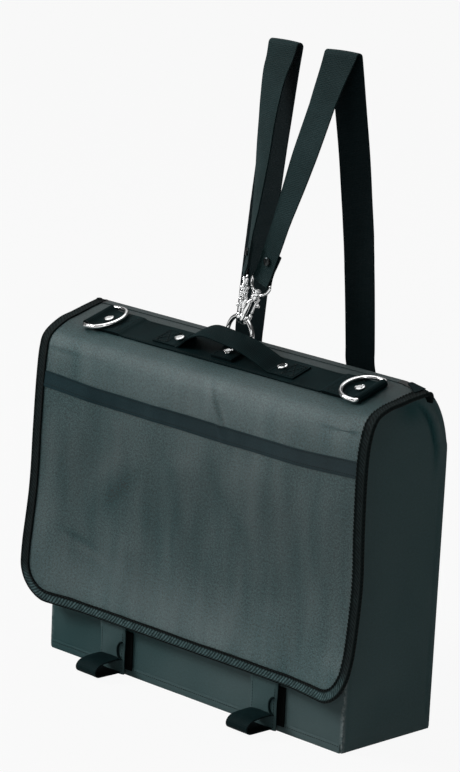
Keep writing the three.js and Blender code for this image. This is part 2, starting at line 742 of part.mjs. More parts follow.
function addStrapFront(side, places) {
  const { bar, across } = places.eye;
  const run = places.topFront.clone().sub(bar);
  const up = run.clone().normalize();
  const out = across.clone().cross(up).normalize();
  const turn = eyeRod / 2 + wireGap + webbingThickness / 2;
  const pair = layer / 2;
  const at = (rise, aside) => bar.clone().addScaledVector(up, rise).addScaledVector(out, aside);
  const station = (point, width = strapEyeWidth, direction = across) => (
    { at: point, across: direction, width }
  );
  const stations = [station(at(strapTailLength, -pair)), station(at(strapPinchRise, -pair))];
  for (let i = 0; i <= arcSteps; i += 1) {
    const angle = Math.PI + (Math.PI * i) / arcSteps;
    stations.push(station(at(turn * Math.sin(angle), turn * Math.cos(angle))));
  }
  stations.push(station(at(strapPinchRise, pair)), station(at(strapTailLength, pair)));
  const length = run.length();
  for (let i = 1; i <= arcSteps; i += 1) {
    const share = i / arcSteps;
    const rise = strapTailLength + (length - strapTailLength) * share;
    const direction = across.clone().lerp(xAxis, share).normalize();
    const width = THREE.MathUtils.lerp(strapEyeWidth, webbingWidth, Math.min(1, share / strapTaperShare));
    stations.push(station(at(rise, pair * (1 - share)), width, direction));
  }
  const facing = new THREE.Matrix4().makeBasis(across, up, out);
  const spot = at(strapRivetRise, 0);
  const hole = rivetHole(-layers(2), layers(2)).applyMatrix4(facing).translate(spot.x, spot.y, spot.z);
  addPiece(bag, `strap_front_${side}`, cut(ribbon(stations), hole), webbing());
  const head = rivet(strapRivetDiameter, layers(2) - seamGap).translate(0, 0, layer);
  addPiece(bag, `rivet_strap_${side}`, head.applyMatrix4(facing).translate(spot.x, spot.y, spot.z), chrome());
}

function addStrapRear(side, settings, places) {
  const top = vec(settings.topX, strapTopY, strapTopHeight - strapFoldRadius);
  const stations = [];
  for (let i = 0; i <= arcSteps; i += 1) {
    const angle = Math.PI * (1 - i / arcSteps);
    const lift = i === 0 ? seamGap : 0;
    const spot = vec(0, strapFoldRadius * Math.cos(angle), strapFoldRadius * Math.sin(angle) + lift);
    stations.push({ at: spot.add(top), across: xAxis, width: webbingWidth });
  }
  for (let i = 1; i <= arcSteps; i += 1) {
    const height = THREE.MathUtils.lerp(places.topRear.z, strapSplitHeight, i / arcSteps);
    stations.push({ at: places.atHeight(height), across: xAxis, width: webbingWidth });
  }
  addPiece(bag, `strap_rear_${side}`, ribbon(stations), webbing());
}

const anchorX = bodyWidth / 2 - anchorInset;
const sliderSlotTop = sliderLength / 2 - sliderFrame;
const sliderHumpHalf = sliderBarWidth / 2 + webbingThickness;

// The strap's straight run on the rear wall, from its anchor to the waist.
function lowerRun(settings, places) {
  const foot = vec(settings.outer * anchorX, 0, anchorHeight);
  const head = vec(places.waist.x, 0, strapWaistHeight);
  const up = head.clone().sub(foot).normalize();
  const across = vec(0, 1, 0).cross(up);
  const xAt = (z) => THREE.MathUtils.mapLinear(z, anchorHeight, strapWaistHeight, foot.x, head.x);
  return { up, across, xAt, slant: Math.atan2(up.x, up.z) };
}

function addStrapLower(side, settings, places) {
  const { up, across, xAt } = lowerRun(settings, places);
  const lying = (z, clear, along = 0) => {
    const spot = vec(xAt(z), 0, z).addScaledVector(up, along);
    return { at: spot.setY(rearFaceY(spot.z) + clear), across };
  };
  const resting = places.clear;
  const overBar = resting + sliderThickness + webbingThickness + 2 * seamGap;
  const onPatch = seamGap + patchThickness + seamGap + webbingThickness / 2;
  const aboveShoulder = rearShoulderHeight + webbingWidth / 2;
  const points = [
    { at: places.atHeight(strapSplitHeight - strapSplitGap), across: xAxis },
    { at: places.waist, across: xAxis },
    { at: vec(xAt(aboveShoulder), places.shoulderRest.y, aboveShoulder), across },
    lying(rearShoulderHeight, resting),
    lying(sliderHeight, resting, sliderSlotTop),
    lying(sliderHeight, overBar, sliderHumpHalf),
    lying(sliderHeight, overBar, -sliderHumpHalf),
    lying(sliderHeight, resting, -sliderSlotTop),
    lying(anchorHeight + patchHeight, onPatch),
    lying(anchorHeight, onPatch),
  ];
  const stations = points.map((point) => ({ ...point, width: webbingWidth }));
  addPiece(bag, `strap_lower_${side}`, ribbon(stations), webbing());
  const patchX = xAt(anchorHeight + patchHeight / 2);
  const patchFoot = anchorHeight - patchHeight * patchBelowShare;
  const patchTop = patchFoot + patchHeight;
  const patchLine = [patchFoot, patchTop].map((z) => new THREE.Vector2(rearFaceY(z) + seamGap, z));
  const patchOutline = sheetOutline(patchLine, -patchThickness);
  const patch = alongX(patchOutline.reverse(), patchX - patchWidth / 2, patchX + patchWidth / 2);
  addPiece(bag, `anchor_patch_${side}`, patch, sideCloth());
}

// The adjuster on a strap: the webbing goes under its end bars and over its middle bar.
function addSlider(side, settings, places) {
  const { xAt, slant } = lowerRun(settings, places);
  const halfX = webbingWidth / 2 + sliderFrame + seamGap + wireGap;
  const halfZ = sliderLength / 2;
  const outline = new THREE.Shape();
  outline.moveTo(-halfX, -halfZ);
  outline.lineTo(halfX, -halfZ);
  outline.lineTo(halfX, halfZ);
  outline.lineTo(-halfX, halfZ);
  const slotX = halfX - sliderFrame;
  const slotLow = sliderBarWidth / 2;
  for (const sign of [-1, 1]) {
    const slot = new THREE.Path();
    slot.moveTo(-slotX, sign * slotLow);
    slot.lineTo(-slotX, sign * sliderSlotTop);
    slot.lineTo(slotX, sign * sliderSlotTop);
    slot.lineTo(slotX, sign * slotLow);
    outline.holes.push(slot);
  }
  const y = rearFaceY(sliderHeight + halfZ) + places.clear + webbingThickness / 2 + seamGap;
  const frame = alongY(outline, y, y + sliderThickness).rotateY(slant);
  addPiece(bag, `strap_slider_${side}`, frame.translate(xAt(sliderHeight), 0, sliderHeight), chrome());
}

addBody();
addFlapTop();
const front = addFlapFront();
addClosure(front, 'left', -closureX);
addClosure(front, 'right', closureX);
const deck = addDeck();
addHandle(deck);
const stand = addCentreRing(deck);
for (const [side, settings] of Object.entries(strapSides)) {
  const places = strapPlaces(settings, addHook(stand, side, settings));
  addStrapFront(side, places);
  addStrapRear(side, settings, places);
  addStrapLower(side, settings, places);
  addSlider(side, settings, places);
}

export default bag;
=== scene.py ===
"""A flap bag for folding music stands: cloth, tape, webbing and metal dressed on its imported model."""

import math

import bpy
import numpy as np
from mathutils import Matrix, Vector, noise


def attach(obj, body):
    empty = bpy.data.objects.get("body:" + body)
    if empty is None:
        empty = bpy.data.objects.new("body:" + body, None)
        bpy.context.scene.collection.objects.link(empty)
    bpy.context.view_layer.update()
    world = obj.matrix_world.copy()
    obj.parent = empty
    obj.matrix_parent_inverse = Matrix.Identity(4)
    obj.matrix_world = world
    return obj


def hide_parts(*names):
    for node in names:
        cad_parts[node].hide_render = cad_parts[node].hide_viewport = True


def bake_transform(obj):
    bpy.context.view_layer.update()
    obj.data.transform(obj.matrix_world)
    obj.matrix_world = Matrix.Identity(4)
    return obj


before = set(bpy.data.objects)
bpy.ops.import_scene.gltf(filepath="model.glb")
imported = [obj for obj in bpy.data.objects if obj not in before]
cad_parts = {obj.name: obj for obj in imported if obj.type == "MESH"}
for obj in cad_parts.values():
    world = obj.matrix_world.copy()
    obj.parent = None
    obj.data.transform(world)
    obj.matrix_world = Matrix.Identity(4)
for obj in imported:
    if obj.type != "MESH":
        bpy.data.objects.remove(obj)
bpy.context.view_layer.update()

MM = 0.001

# The camera of the photograph
FRAME_HEIGHT_PX = 772
FOCAL_PX = 3700
SENSOR_MM = 36
CAMERA_AZIMUTH = math.radians(45.0)
CAMERA_ELEVATION = math.radians(13.84)
CAMERA_ROLL = math.radians(2.46)
CAMERA_EYE = Vector((2.6248, -2.6510, 1.2466))

# The body
HALF_WIDTH = 220 * MM
BODY_FRONT = -65 * MM
BODY_REAR = 65 * MM
REAR_LEAN = 4 * MM
REAR_SHOULDER = 285 * MM
FRONT_TOP = 322 * MM
SEAM_Y = 12 * MM
SEAM_Z = 371 * MM
MOUTH_DROP = 6 * MM
CLOTH = 1.6 * MM
FOOT_BAND = 10 * MM
BOTTOM_SHARE = 0.16
INSIDE = Vector((0, 0, 200)) * MM
SEAM_STRIP_FRONT = 7 * MM
SEAM_STRIP_REAR = 13 * MM

# The flap: its half width, its corners and the sections that its cloth follows, as (y, z)
FLAP_HALF = 243.3 * MM
FLAP_CORNER = 38 * MM
TAPE_WIDTH = 12 * MM
TAPE_SEAM = 11.4 * MM
SEAM_STRIP_HALF = FLAP_HALF - 9 * MM
FLAP_MIDDLE = [
    (12, 374), (-6, 371), (-26.6, 363.9), (-47.1, 357.6), (-65.9, 347.9), (-73, 334),
    (-73.8, 300), (-74.8, 240), (-75.7, 180), (-76.6, 120), (-77, 85), (-77.4, 57),
]
FLAP_LEFT = [
    (11, 374), (-8, 369.5), (-27, 364.5), (-46, 359.5), (-65, 348), (-71.5, 334),
    (-75, 305), (-78.5, 240), (-82, 180), (-89, 120), (-90, 88), (-87, 58),
]
FLAP_RIGHT = [
    (11.5, 369), (-9, 367), (-28, 364), (-46, 361), (-62, 353.5), (-71, 336),
    (-75, 305), (-75.5, 240), (-74, 180), (-80, 120), (-88, 88), (-92, 58),
]
SHOULDER_POINT = 5
DECK_HALF = 206 * MM
SIDE_START = 140 * MM
BAND_TOP = 305 * MM
BAND_FOOT = 288 * MM
BAND_HALF = 232 * MM

# The tape's section round the flap's edge, as (inwards, height over the flap's outer face)
TAPE_SECTION = [
    (12.2, 0.1), (12.0, 1.1), (11.2, 1.55), (10.3, 1.3), (9.2, 0.95), (5.5, 1.05), (2.8, 1.1),
    (1.4, 1.6), (0.2, 1.65), (-0.7, 1.0), (-1.0, -0.2), (-0.8, -1.6), (0.2, -2.7), (2, -3.1),
    (6, -3.1), (11, -2.8), (12, -1.9),
]

# The way of the tape's tails down from the flap's rear corners, as (y, z) from a corner
TAIL_WAY = [(-3, 0.2), (2.2, -0.6), (4.6, -4.4), (4.4, -10.5)]

# The sloping top that the strip lies on
DECK_MIDDLE = Vector((0, -26.561, 363.914)) * MM
DECK_TILT = math.radians(17)
STRIP_HALF = 20 * MM
RING_BAR_X = 200 * MM
RING_BAR_H = 4.5 * MM
RING_WIRE = 4.8 * MM
SIDE_RING_INSIDE = 41.5 * MM
SIDE_RING_DEPTH = 33 * MM
SIDE_RING_LIFT = math.radians(4)
RING_LEG_SHARE = 0.3
RING_CORNER = 3 * MM
WEBBING = 1.5 * MM
GAP = 0.3 * MM
LAYER = WEBBING + GAP
HANDLE_HALF = 14 * MM
HANDLE_ARCH = 66 * MM
HANDLE_OUTER = 103 * MM
HANDLE_RISE = 22 * MM
ARCH_SHARES = [(-1, 0), (-0.73, 0.59), (-0.4, 1), (0, 0.93), (0.42, 0.73), (0.79, 0.3), (1, 0)]
SIDE_RIVET_X = 184.7 * MM
HANDLE_RIVET_X = 76 * MM
TAB_RIVET_Y = -2 * MM
RIVET_RADIUS = 5 * MM
RIVET_HEIGHT = 2 * MM
CAP_STEPS = [(0.16, 0.16), (0.24, 0.14), (0.3, 0.08)]

# The tab that holds the centre ring, and the ring
TAB_HALF = 15 * MM
TAB_FRONT = -14 * MM
CENTRE_BAR_Y = 14 * MM
CENTRE_BAR_H = 6.6 * MM
CENTRE_RING_INSIDE = 31.5 * MM
CENTRE_RING_DEPTH = 31 * MM

# The flap's front and the closures below it
SHOULDER = Vector((0, -73, 334)) * MM
FRONT_LEAN = math.radians(0.9)
CLOSURE_X = 114 * MM
CLOSURE_DROP = 277.8 * MM
CLOSURE_HALF = 19 * MM
CLOSURE_SHIFT = 5.15 * MM
CLOSURE_LENGTH = 53.5 * MM
CLOSURE_CLOTH = 2.4 * MM
GRIP_HALF = 15 * MM

# The tab's section down from the flap's edge, and the pull's round the tab's foot, in mm as (y, z)
TAB_LINE = [
    (4.2, 14), (4.0, 6), (3.7, 0), (4.2, -8), (5.0, -17), (5.15, -26), (5.15, -38),
    (4.9, -48), (4.6, -53.4),
]
GRIP_LINE = [
    (4.6, 14.4), (1.5, 14.8), (-4, 14.9), (-12, 14.6), (-20, 13.9), (-26.5, 12.2), (-30.6, 9.0),
    (-31.9, 5.2), (-30.2, 1.9), (-26, 0.3), (-14, 0.1), (-4, 0.1), (1.5, 0.1), (4.6, 0.1),
]

# The shoulder straps, with the places of their hooks on the centre ring
STRAP_WIDTH = 40 * MM
EYE_WIDTH = 23 * MM
STRAP_TOP_Y = 19 * MM
STRAP_TOP_Z = 690 * MM
FOLD_RADIUS = 4.5 * MM
WAIST_Z = 365 * MM
ANCHOR_X = 125 * MM
ANCHOR_Z = 26 * MM
PATCH_MIDDLE_Z = 37.5 * MM
PATCH_HALF_X = 31 * MM
PATCH_HALF_Z = 23 * MM
PATCH_FOOT_Z = 49 * MM
ON_PATCH = 3.35 * MM
OVER_BAR = 6.5 * MM
SLIDER_PLATE = 2.6 * MM
SLIDER_COLUMNS = (-25.1, -20.6, 20.6, 25.1)
SLIDER_ROWS = (-15, -10.5, -2.25, 2.25, 10.5, 15)
SLIDER_Z = 150 * MM
STRAPS = {
    "left": {
        "hook": 0, "lean": 3, "tilt": -4, "turn": 25, "eye": -40,
        "top": 14, "waist": -63, "outer": -1,
        "turns": [(0, -40), (0.15, -33), (0.4, -27), (0.6, -23), (0.78, -15), (0.9, -7), (1, 0)],
        "slack": 4, "rear_slack": -3,
    },
    "right": {
        "hook": 7.5, "lean": 20, "tilt": -8, "turn": -171, "eye": 0,
        "top": 95, "waist": 100, "outer": 1,
        "turns": [(0, 0), (0.15, -5), (0.4, -9), (0.75, -9), (0.9, -2), (1, 7)],
        "slack": 1, "rear_slack": 6,
    },
}

# The snap hooks, measured from the ring's wire in the hook's bend
HOOK_LIFT = 1.4 * MM
HOOK_BEND = 6.5 * MM
HOOK_ROD = 4.2 * MM
BEND_MIDDLE = 0.2 * MM
ROD_END = 22.7 * MM
EYE_BAR = 43.8 * MM
EYE_ROD = 3.2 * MM

# A hook's turned parts in mm: the name, the radius, the foot, the top and the bevel
HOOK_POSTS = [
    ("barrel", 2.75, 5, 18.6, 0.9), ("collar", 4.2, 21.65, 26.65, 0.7),
    ("groove", 4.55, 23.25, 24.85, 0.5), ("stem", 2, 21.65, 31.9, 0.3),
    ("head", 3.4, 30.95, 32.95, 0.7),
]

# Its blocks in mm: the name, the low corner, the high corner and the bevel
HOOK_BLOCKS = [
    ("lug", (-7.9, -2.3, 19.4), (0, -1.3, 22.7), 0.4),
    ("lug", (-7.9, 1.3, 19.4), (0, 2.3, 22.7), 0.4),
    ("bridge", (-7.7, -2.1, 20.6), (0, 2.1, 22.7), 0.5),
]

# Half of the eye's loop in mm, from the boss to the middle of its bar, as (x, z)
EYE_ARM = [
    (4.2, 28.8), (8.2, 31.4), (11.985, 35.55), (13.9, 40.2), (13.3, 43.0),
    (11.4, 43.8), (6, 43.8), (0, 43.8),
]

# How things are made: a stitch's pitch and a thread's radius, wire's roundness, how near points merge
STITCH = 3.6 * MM
THREAD = 0.35 * MM
ROD_STEPS = 4
MERGE = 0.02 * MM

# Adding objects, and the camera


def add_object(name, data):
    """Puts new data into the scene as an object."""
    piece = bpy.data.objects.new(name, data)
    bpy.context.collection.objects.link(piece)
    return piece


def make_camera():
    data = bpy.data.cameras.new("camera")
    data.sensor_fit = "VERTICAL"
    data.sensor_height = SENSOR_MM
    data.sensor_width = SENSOR_MM
    data.lens = FOCAL_PX / FRAME_HEIGHT_PX * SENSOR_MM
    data.clip_end = 50
    camera = add_object("camera", data)
    back = Vector((
        math.sin(CAMERA_AZIMUTH) * math.cos(CAMERA_ELEVATION),
        -math.cos(CAMERA_AZIMUTH) * math.cos(CAMERA_ELEVATION),
        math.sin(CAMERA_ELEVATION),
    ))
    right = Vector((0, 0, 1)).cross(back).normalized()
    up = back.cross(right)
    level = right * math.cos(CAMERA_ROLL) + up * math.sin(CAMERA_ROLL)
    head = up * math.cos(CAMERA_ROLL) - right * math.sin(CAMERA_ROLL)
    turn = Matrix((level, head, back)).transposed().to_4x4()
    camera.matrix_world = Matrix.Translation(CAMERA_EYE) @ turn
    bpy.context.scene.camera = camera


# Selecting, joining and finishing


def deselect():
    bpy.ops.object.select_all(action="DESELECT")


def only(piece):
    """Selects one object and makes it active."""
    deselect()
    piece.select_set(True)
    bpy.context.view_layer.objects.active = piece


def leave_edit():
    bpy.ops.object.mode_set(mode="OBJECT")


def edit_all(piece):
    """Enters edit mode with all of a piece selected."""
    only(piece)
    bpy.ops.object.mode_set(mode="EDIT")
    bpy.ops.mesh.select_all(action="SELECT")


def select_faces(piece, wanted):
    """Enters edit mode with the faces selected that a test of their middle and normal wants."""
    only(piece)
    bpy.ops.object.mode_set(mode="EDIT")
    bpy.ops.mesh.select_mode(type="FACE")
    bpy.ops.mesh.select_all(action="DESELECT")
    leave_edit()
    for face in piece.data.polygons:
        face.select = bool(wanted(face.center, face.normal))
    bpy.ops.object.mode_set(mode="EDIT")


def outwards(piece):
    """Merges doubles and turns every face outwards."""
    edit_all(piece)
    bpy.ops.mesh.remove_doubles(threshold=MERGE)
    bpy.ops.mesh.normals_make_consistent(inside=False)
    leave_edit()


def close_ends(piece):
    """Merges a tube's seam and fills its open ends."""
    edit_all(piece)
    bpy.ops.mesh.select_mode(type="VERT")
    bpy.ops.mesh.remove_doubles(threshold=MERGE)
    bpy.ops.mesh.select_all(action="SELECT")
    bpy.ops.mesh.fill_holes(sides=0)
    leave_edit()


def flip_if(piece, wrong):
    if wrong:
        piece.data.flip_normals()
        piece.data.update()


def face_away(piece, inside):
    """Turns an open sheet so that its faces point away from a place."""
    faces = piece.data.polygons
    flip_if(piece, sum(face.normal.dot(face.center - inside) * face.area for face in faces) < 0)


def turn_towards(piece, test):
    """Flips an open sheet unless the face at a share of its length points the wanted way."""
    share, way = test
    faces = piece.data.polygons
    face = faces[min(int(len(faces) * share), len(faces) - 1)]
    flip_if(piece, face.normal.dot(Vector(way)) < 0)


def apply_modifiers(piece):
    only(piece)
    for modifier in list(piece.modifiers):
        bpy.ops.object.modifier_apply(modifier=modifier.name)


def smooth(piece, angle=40):
    only(piece)
    bpy.ops.object.shade_smooth_by_angle(angle=math.radians(angle))


def place_with(piece, matrix):
    piece.data.transform(matrix)
    piece.data.update()


def join(name, pieces):
    only(pieces[0])
    for piece in pieces:
        piece.select_set(True)
    bpy.ops.object.join()
    pieces[0].name = name
    return pieces[0]


def paint(piece, name, values):
    """Stores one number for each point, which a material reads by its name."""
    layer = piece.data.attributes.get(name) or piece.data.attributes.new(name, "FLOAT", "POINT")
    layer.data.foreach_set("value", np.asarray(values, np.float32))


def points_of(piece):
    places = np.empty(len(piece.data.vertices) * 3)
    piece.data.vertices.foreach_get("co", places)
    return places.reshape(-1, 3)


def finish_piece(piece, material, body, slot, *replaced):
    """Gives a piece its finish, the body it rides on and the nodes it stands for. Its slot is not used.
    """
    piece.data.materials.clear()
    piece.data.materials.append(material)
    if body:
        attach(piece, body)
    if replaced:
        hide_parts(*replaced)
    return piece


# Making meshes


def named(name):
    """The object that was just added, under its own name."""
    piece = bpy.context.object
    piece.name = name
    return piece


def settle():
    """Moves the active object's place and scale into its mesh."""
    bpy.ops.object.transform_apply(location=True, rotation=True, scale=True)


def flat_cloth(name, width, length, across, along):
    """A flat grid at its cut size, with its UV map in metres from the cut's middle and first edge."""
    deselect()
    bpy.ops.mesh.primitive_grid_add(x_subdivisions=across, y_subdivisions=along, size=1)
    piece = named(name)
    edit_all(piece)
    bpy.ops.transform.resize(value=(width, length, 1))
    bpy.ops.transform.translate(value=(0, length / 2, 0))
    leave_edit()
    write_uv(piece, points_of(piece)[:, :2])
    return piece


def write_uv(piece, places):
    """Gives each point its place in the UV map."""
    mesh = piece.data
    layer = mesh.uv_layers[0] if mesh.uv_layers else mesh.uv_layers.new(name="UVMap")
    corners = np.empty(len(mesh.loops), int)
    mesh.loops.foreach_get("vertex_index", corners)
    layer.data.foreach_set("uv", np.asarray(places)[corners].ravel())


def shape(piece, place):
    """Moves every point: place takes the flat x and y of all points and returns their new places."""
    flat = points_of(piece)
    piece.data.vertices.foreach_set("co", np.asarray(place(flat[:, 0], flat[:, 1]), float).ravel())
    piece.data.update()


def thicken(piece, thickness, offset=-1.0):
    """Gives a sheet its thickness and marks its inner side; offset -1 grows it against its normals."""
    before = points_of(piece)
    normals = np.array([vertex.normal for vertex in piece.data.vertices])
    count = len(before)
    wall = piece.modifiers.new("thickness", "SOLIDIFY")
    wall.thickness = thickness
    wall.offset = offset
    wall.use_even_offset = True
    apply_modifiers(piece)
    after = points_of(piece)
    first = ((after[:count] - before) * normals).sum(1).mean()
    second = ((after[count:2 * count] - before) * normals).sum(1).mean()
    inner = np.zeros(len(after))
    if first > second:
        inner[count:] = 1
    else:
        inner[:count] = 1
    paint(piece, "inner", inner)


def rod(name, points, radius, closed=False, shares=None):
    """Round wire through points, as a mesh. Shares give the radius at each point."""
    curve = bpy.data.curves.new(name, "CURVE")
    curve.dimensions = "3D"
    curve.bevel_depth = radius
    curve.bevel_resolution = ROD_STEPS
    curve.use_fill_caps = not closed
    line = curve.splines.new("POLY")
    line.points.add(len(points) - 1)
    for i, (spot, point) in enumerate(zip(line.points, points)):
        spot.co = (*point, 1)
        spot.radius = shares[i] if shares else 1
    line.use_cyclic_u = closed
    only(add_object(name, curve))
    bpy.ops.object.convert(target="MESH")
    piece = named(name)
    outwards(piece)
    return piece


def round_ends(points):
    """Radius shares that close a wire's two ends with a dome over their last two points."""
    shares = [1.0] * len(points)
    for i in (0, 1):
        shares[i] = shares[-1 - i] = math.sqrt(1 - ((2 - i) / 2.4) ** 2)
    return shares


def post(name, radius, z0, z1, bevel, vertices=28):
    """A round post along Z with bevelled rims."""
    deselect()
    middle = (0, 0, (z0 + z1) / 2)
    bpy.ops.mesh.primitive_cylinder_add(
        vertices=vertices, radius=radius, depth=z1 - z0, location=middle,
    )
    piece = named(name)
    settle()
    for sign in (1, -1):
        select_faces(piece, lambda middle, normal: normal.z * sign > 0.9)
        bpy.ops.mesh.region_to_loop()
        bpy.ops.mesh.bevel(offset=bevel, segments=3, affect="EDGES")
        leave_edit()
    return piece


def block(name, low, high, bevel):
    """A block between two corners with rounded edges."""
    deselect()
    low, high = Vector(low), Vector(high)
    middle = (low + high) / 2
    bpy.ops.mesh.primitive_cube_add(size=1, location=middle)
    piece = named(name)
    edit_all(piece)
    bpy.ops.transform.resize(value=high - low, center_override=middle)
    bpy.ops.mesh.bevel(offset=bevel, segments=3, affect="EDGES")
    leave_edit()
    settle()
    return piece


def ball(name, radius, place):
    deselect()
    bpy.ops.mesh.primitive_uv_sphere_add(segments=24, ring_count=14, radius=radius, location=place)
    piece = named(name)
    settle()
    return piece


# Curves in numbers


def metres(sizes):
    """Sizes that were given in millimetres."""
    return [size * MM for size in sizes]


def lerp(a, b, share):
    return a + (b - a) * share


def eased(value):
    share = np.clip(value, 0, 1)
    return share * share * (3 - 2 * share)


def hump(value, middle, width):
    return np.exp(-(((value - middle) / width) ** 2))


def unit_rows(ways):
    """The same ways, each with a length of one."""
    return ways / np.linalg.norm(ways, axis=1)[:, None]


def lengths_of(points):
    """How far along a line each of its points is."""
    steps = np.linalg.norm(np.diff(points, axis=0), axis=1)
    return np.concatenate([[0], np.cumsum(steps)])


def drawn_along(values, lengths, at):
    """Values given at lengths, read at other lengths, column by column."""
    return np.column_stack([np.interp(at, lengths, column) for column in np.asarray(values).T])


class Line:
    """A smooth line through points, measured by its length."""

    def __init__(self, points, samples=24, closed=False):
        points = np.asarray(points, float)
        count = len(points)
        spans = count if closed else count - 1
        rows = []
        for i in range(spans):
            if closed:
                a, b, c, d = (points[(i + k) % count] for k in (-1, 0, 1, 2))
            else:
                b, c = points[i], points[i + 1]
                a = points[i - 1] if i else 2 * b - c
                d = points[i + 2] if i + 2 < count else 2 * c - b
            t = np.linspace(0, 1, samples, endpoint=False)[:, None]
            bend = (2 * a - 5 * b + 4 * c - d) * t**2 + (3 * b - a - 3 * c + d) * t**3
            rows.append(0.5 * (2 * b + (c - a) * t + bend))
        rows.append(points[:1] if closed else points[-1:])
        self.points = np.concatenate(rows)
        self.at_length = lengths_of(self.points)
        self.length = float(self.at_length[-1])
        last = len(self.points) - 1
        self.knots = np.array([self.at_length[min(i * samples, last)] for i in range(spans + 1)])

    def __call__(self, length):
        return np.stack([np.interp(length, self.at_length, column) for column in self.points.T], -1)


def soft_noise(points, size, seed):
    """Smooth noise from -1 to 1, with waves of about the given size in metres."""
    shift = Vector((seed * 7.1, seed * 3.3, seed * 1.7))
    return np.array([noise.noise(Vector(p) / size + shift) for p in points])


def cut_noise(a, b, size, seed):
    """Smooth noise over two measures on a flat cut."""
    return soft_noise(np.column_stack([a, b, a * 0]), size, seed)


# Sewing


def dash_shape(sides):
    """A thread dash from -1 to 1 along, with narrowed ends."""
    points = [(-1, 0, 0)]
    for along, size in ((-0.8, 0.7), (0, 1), (0.8, 0.7)):
        for k in range(sides):
            angle = math.tau * k / sides
            points.append((along, size * math.cos(angle), size * math.sin(angle)))
    points.append((1, 0, 0))
    faces = []
    for k in range(sides):
        n = (k + 1) % sides
        faces.append((0, 1 + n, 1 + k))
        for ring in range(2):
            a = 1 + ring * sides
            b = a + sides
            faces.append((a + k, a + n, b + n, b + k))
        last = 1 + 2 * sides
        faces.append((last + k, last + n, len(points) - 1))
    return np.array(points, float), faces


def stitches(name, rows, pitch=STITCH, radius=THREAD, fill=0.72, slant=0.0):
    """Rows of thread dashes. Each row is its points and the way out of the cloth at each."""
    dash, dash_faces = dash_shape(6)
    points = []
    faces = []
    base = 0
    for line, normals in rows:
        at = lengths_of(line)
        count = max(int(at[-1] / pitch), 1)
        middles = (np.arange(count) + 0.5) * at[-1] / count
        spots = drawn_along(line, at, middles)
        ahead = drawn_along(line, at, middles + pitch / 4)
        along = unit_rows(ahead - drawn_along(line, at, middles - pitch / 4))
        side = unit_rows(np.cross(drawn_along(normals, at, middles), along))
        up = np.cross(along, side)
        along, side = along + side * slant, side - along * slant
        for spot, a, b, c in zip(spots, along, side, up):
            ways = np.array([a * pitch * fill / 2, b * radius, c * radius])
            points.append(spot + dash @ ways)
            faces += [tuple(base + k for k in face) for face in dash_faces]
            base += len(dash)
    mesh = bpy.data.meshes.new(name)
    mesh.from_pydata(np.concatenate(points).tolist(), [], faces)
    piece = add_object(name, mesh)
    outwards(piece)
    smooth(piece, angle=70)
    return piece


def sew(name, rows, thread, body, slot, **settings):
    """Rows of stitches as a finished piece."""
    return finish_piece(stitches(name, rows, **settings), thread, body, slot)


def box_rows(x0, x1, half):
    """The rows of a sewn box with a cross in it, as pairs of flat points."""
    corners = [(x0, -half), (x1, -half), (x1, half), (x0, half), (x0, -half)]
    return list(zip(corners, corners[1:])) + [((x0, -half), (x1, half)), ((x0, half), (x1, -half))]


# The flap's surface

MIDDLE_LINE = Line(np.array(FLAP_MIDDLE) * MM)
LEFT_LINE = Line(np.array(FLAP_LEFT) * MM)
RIGHT_LINE = Line(np.array(FLAP_RIGHT) * MM)
FLAP_LENGTH = MIDDLE_LINE.length
SHOULDER_AT = float(MIDDLE_LINE.knots[SHOULDER_POINT])

# Folds of the hanging cloth: x, where each starts and ends below the shoulder, width, depth and drift
FLAP_FOLDS = [
    (10, -16, 66, 6, 3.0, 0.55), (24, -12, 46, 8, -2.2, 0.55), (52, 4, 60, 14, 1.2, 0.2),
    (-64, 0, 90, 16, 1.2, 0), (-150, 30, 150, 17, -1.5, 0), (-118, 46, 170, 13, 1.4, 0.1),
    (-60, 60, 210, 15, -1.6, 0.1), (-18, 66, 230, 18, 1.7, 0), (30, 60, 190, 15, -1.3, 0),
    (92, 50, 180, 20, 1.4, 0.05), (150, 40, 220, 22, -1.5, 0), (196, 60, 250, 16, 1.1, 0),
    (-196, 60, 240, 20, 1.4, 0), (-90, 170, 272, 26, 1.8, 0), (60, 170, 270, 30, -1.8, 0),
    (128, 190, 274, 24, 1.6, 0),
]

# Painted highlights and painted shade on it: x, how far below the shoulder, the reach across and along,
# the amount
FLAP_PAINTED_PATCHES = [
    (-5, 8, 105, 26, 0.6), (110, 4, 90, 24, 0.25), (-150, -30, 110, 20, -0.45),
    (215, -55, 60, 30, -0.4), (-200, 56, 60, 40, -0.3), (0, 62, 60, 34, 0.16),
    (110, 66, 80, 36, 0.16), (-90, 130, 110, 45, -0.22), (110, 140, 120, 45, 0.08),
    (-190, 245, 70, 40, 0.4), (-20, 244, 110, 40, 0.55), (90, 240, 90, 30, 0.1),
    (200, 236, 60, 30, -0.1),
]

# Painted shade and light along slanting creases of it: x, how far below, the reach along and across,
# the slope, the amount
FLAP_CREASE_SHADING = [
    (-107, 128, 34, 13, -0.77, -0.4), (-166, 196, 24, 5, 0.27, -0.45), (-150, 206, 26, 6, 0.27, 0.3),
    (-128, 108, 30, 12, -0.77, 0.25), (60, 118, 30, 12, 0.9, -0.22),
]


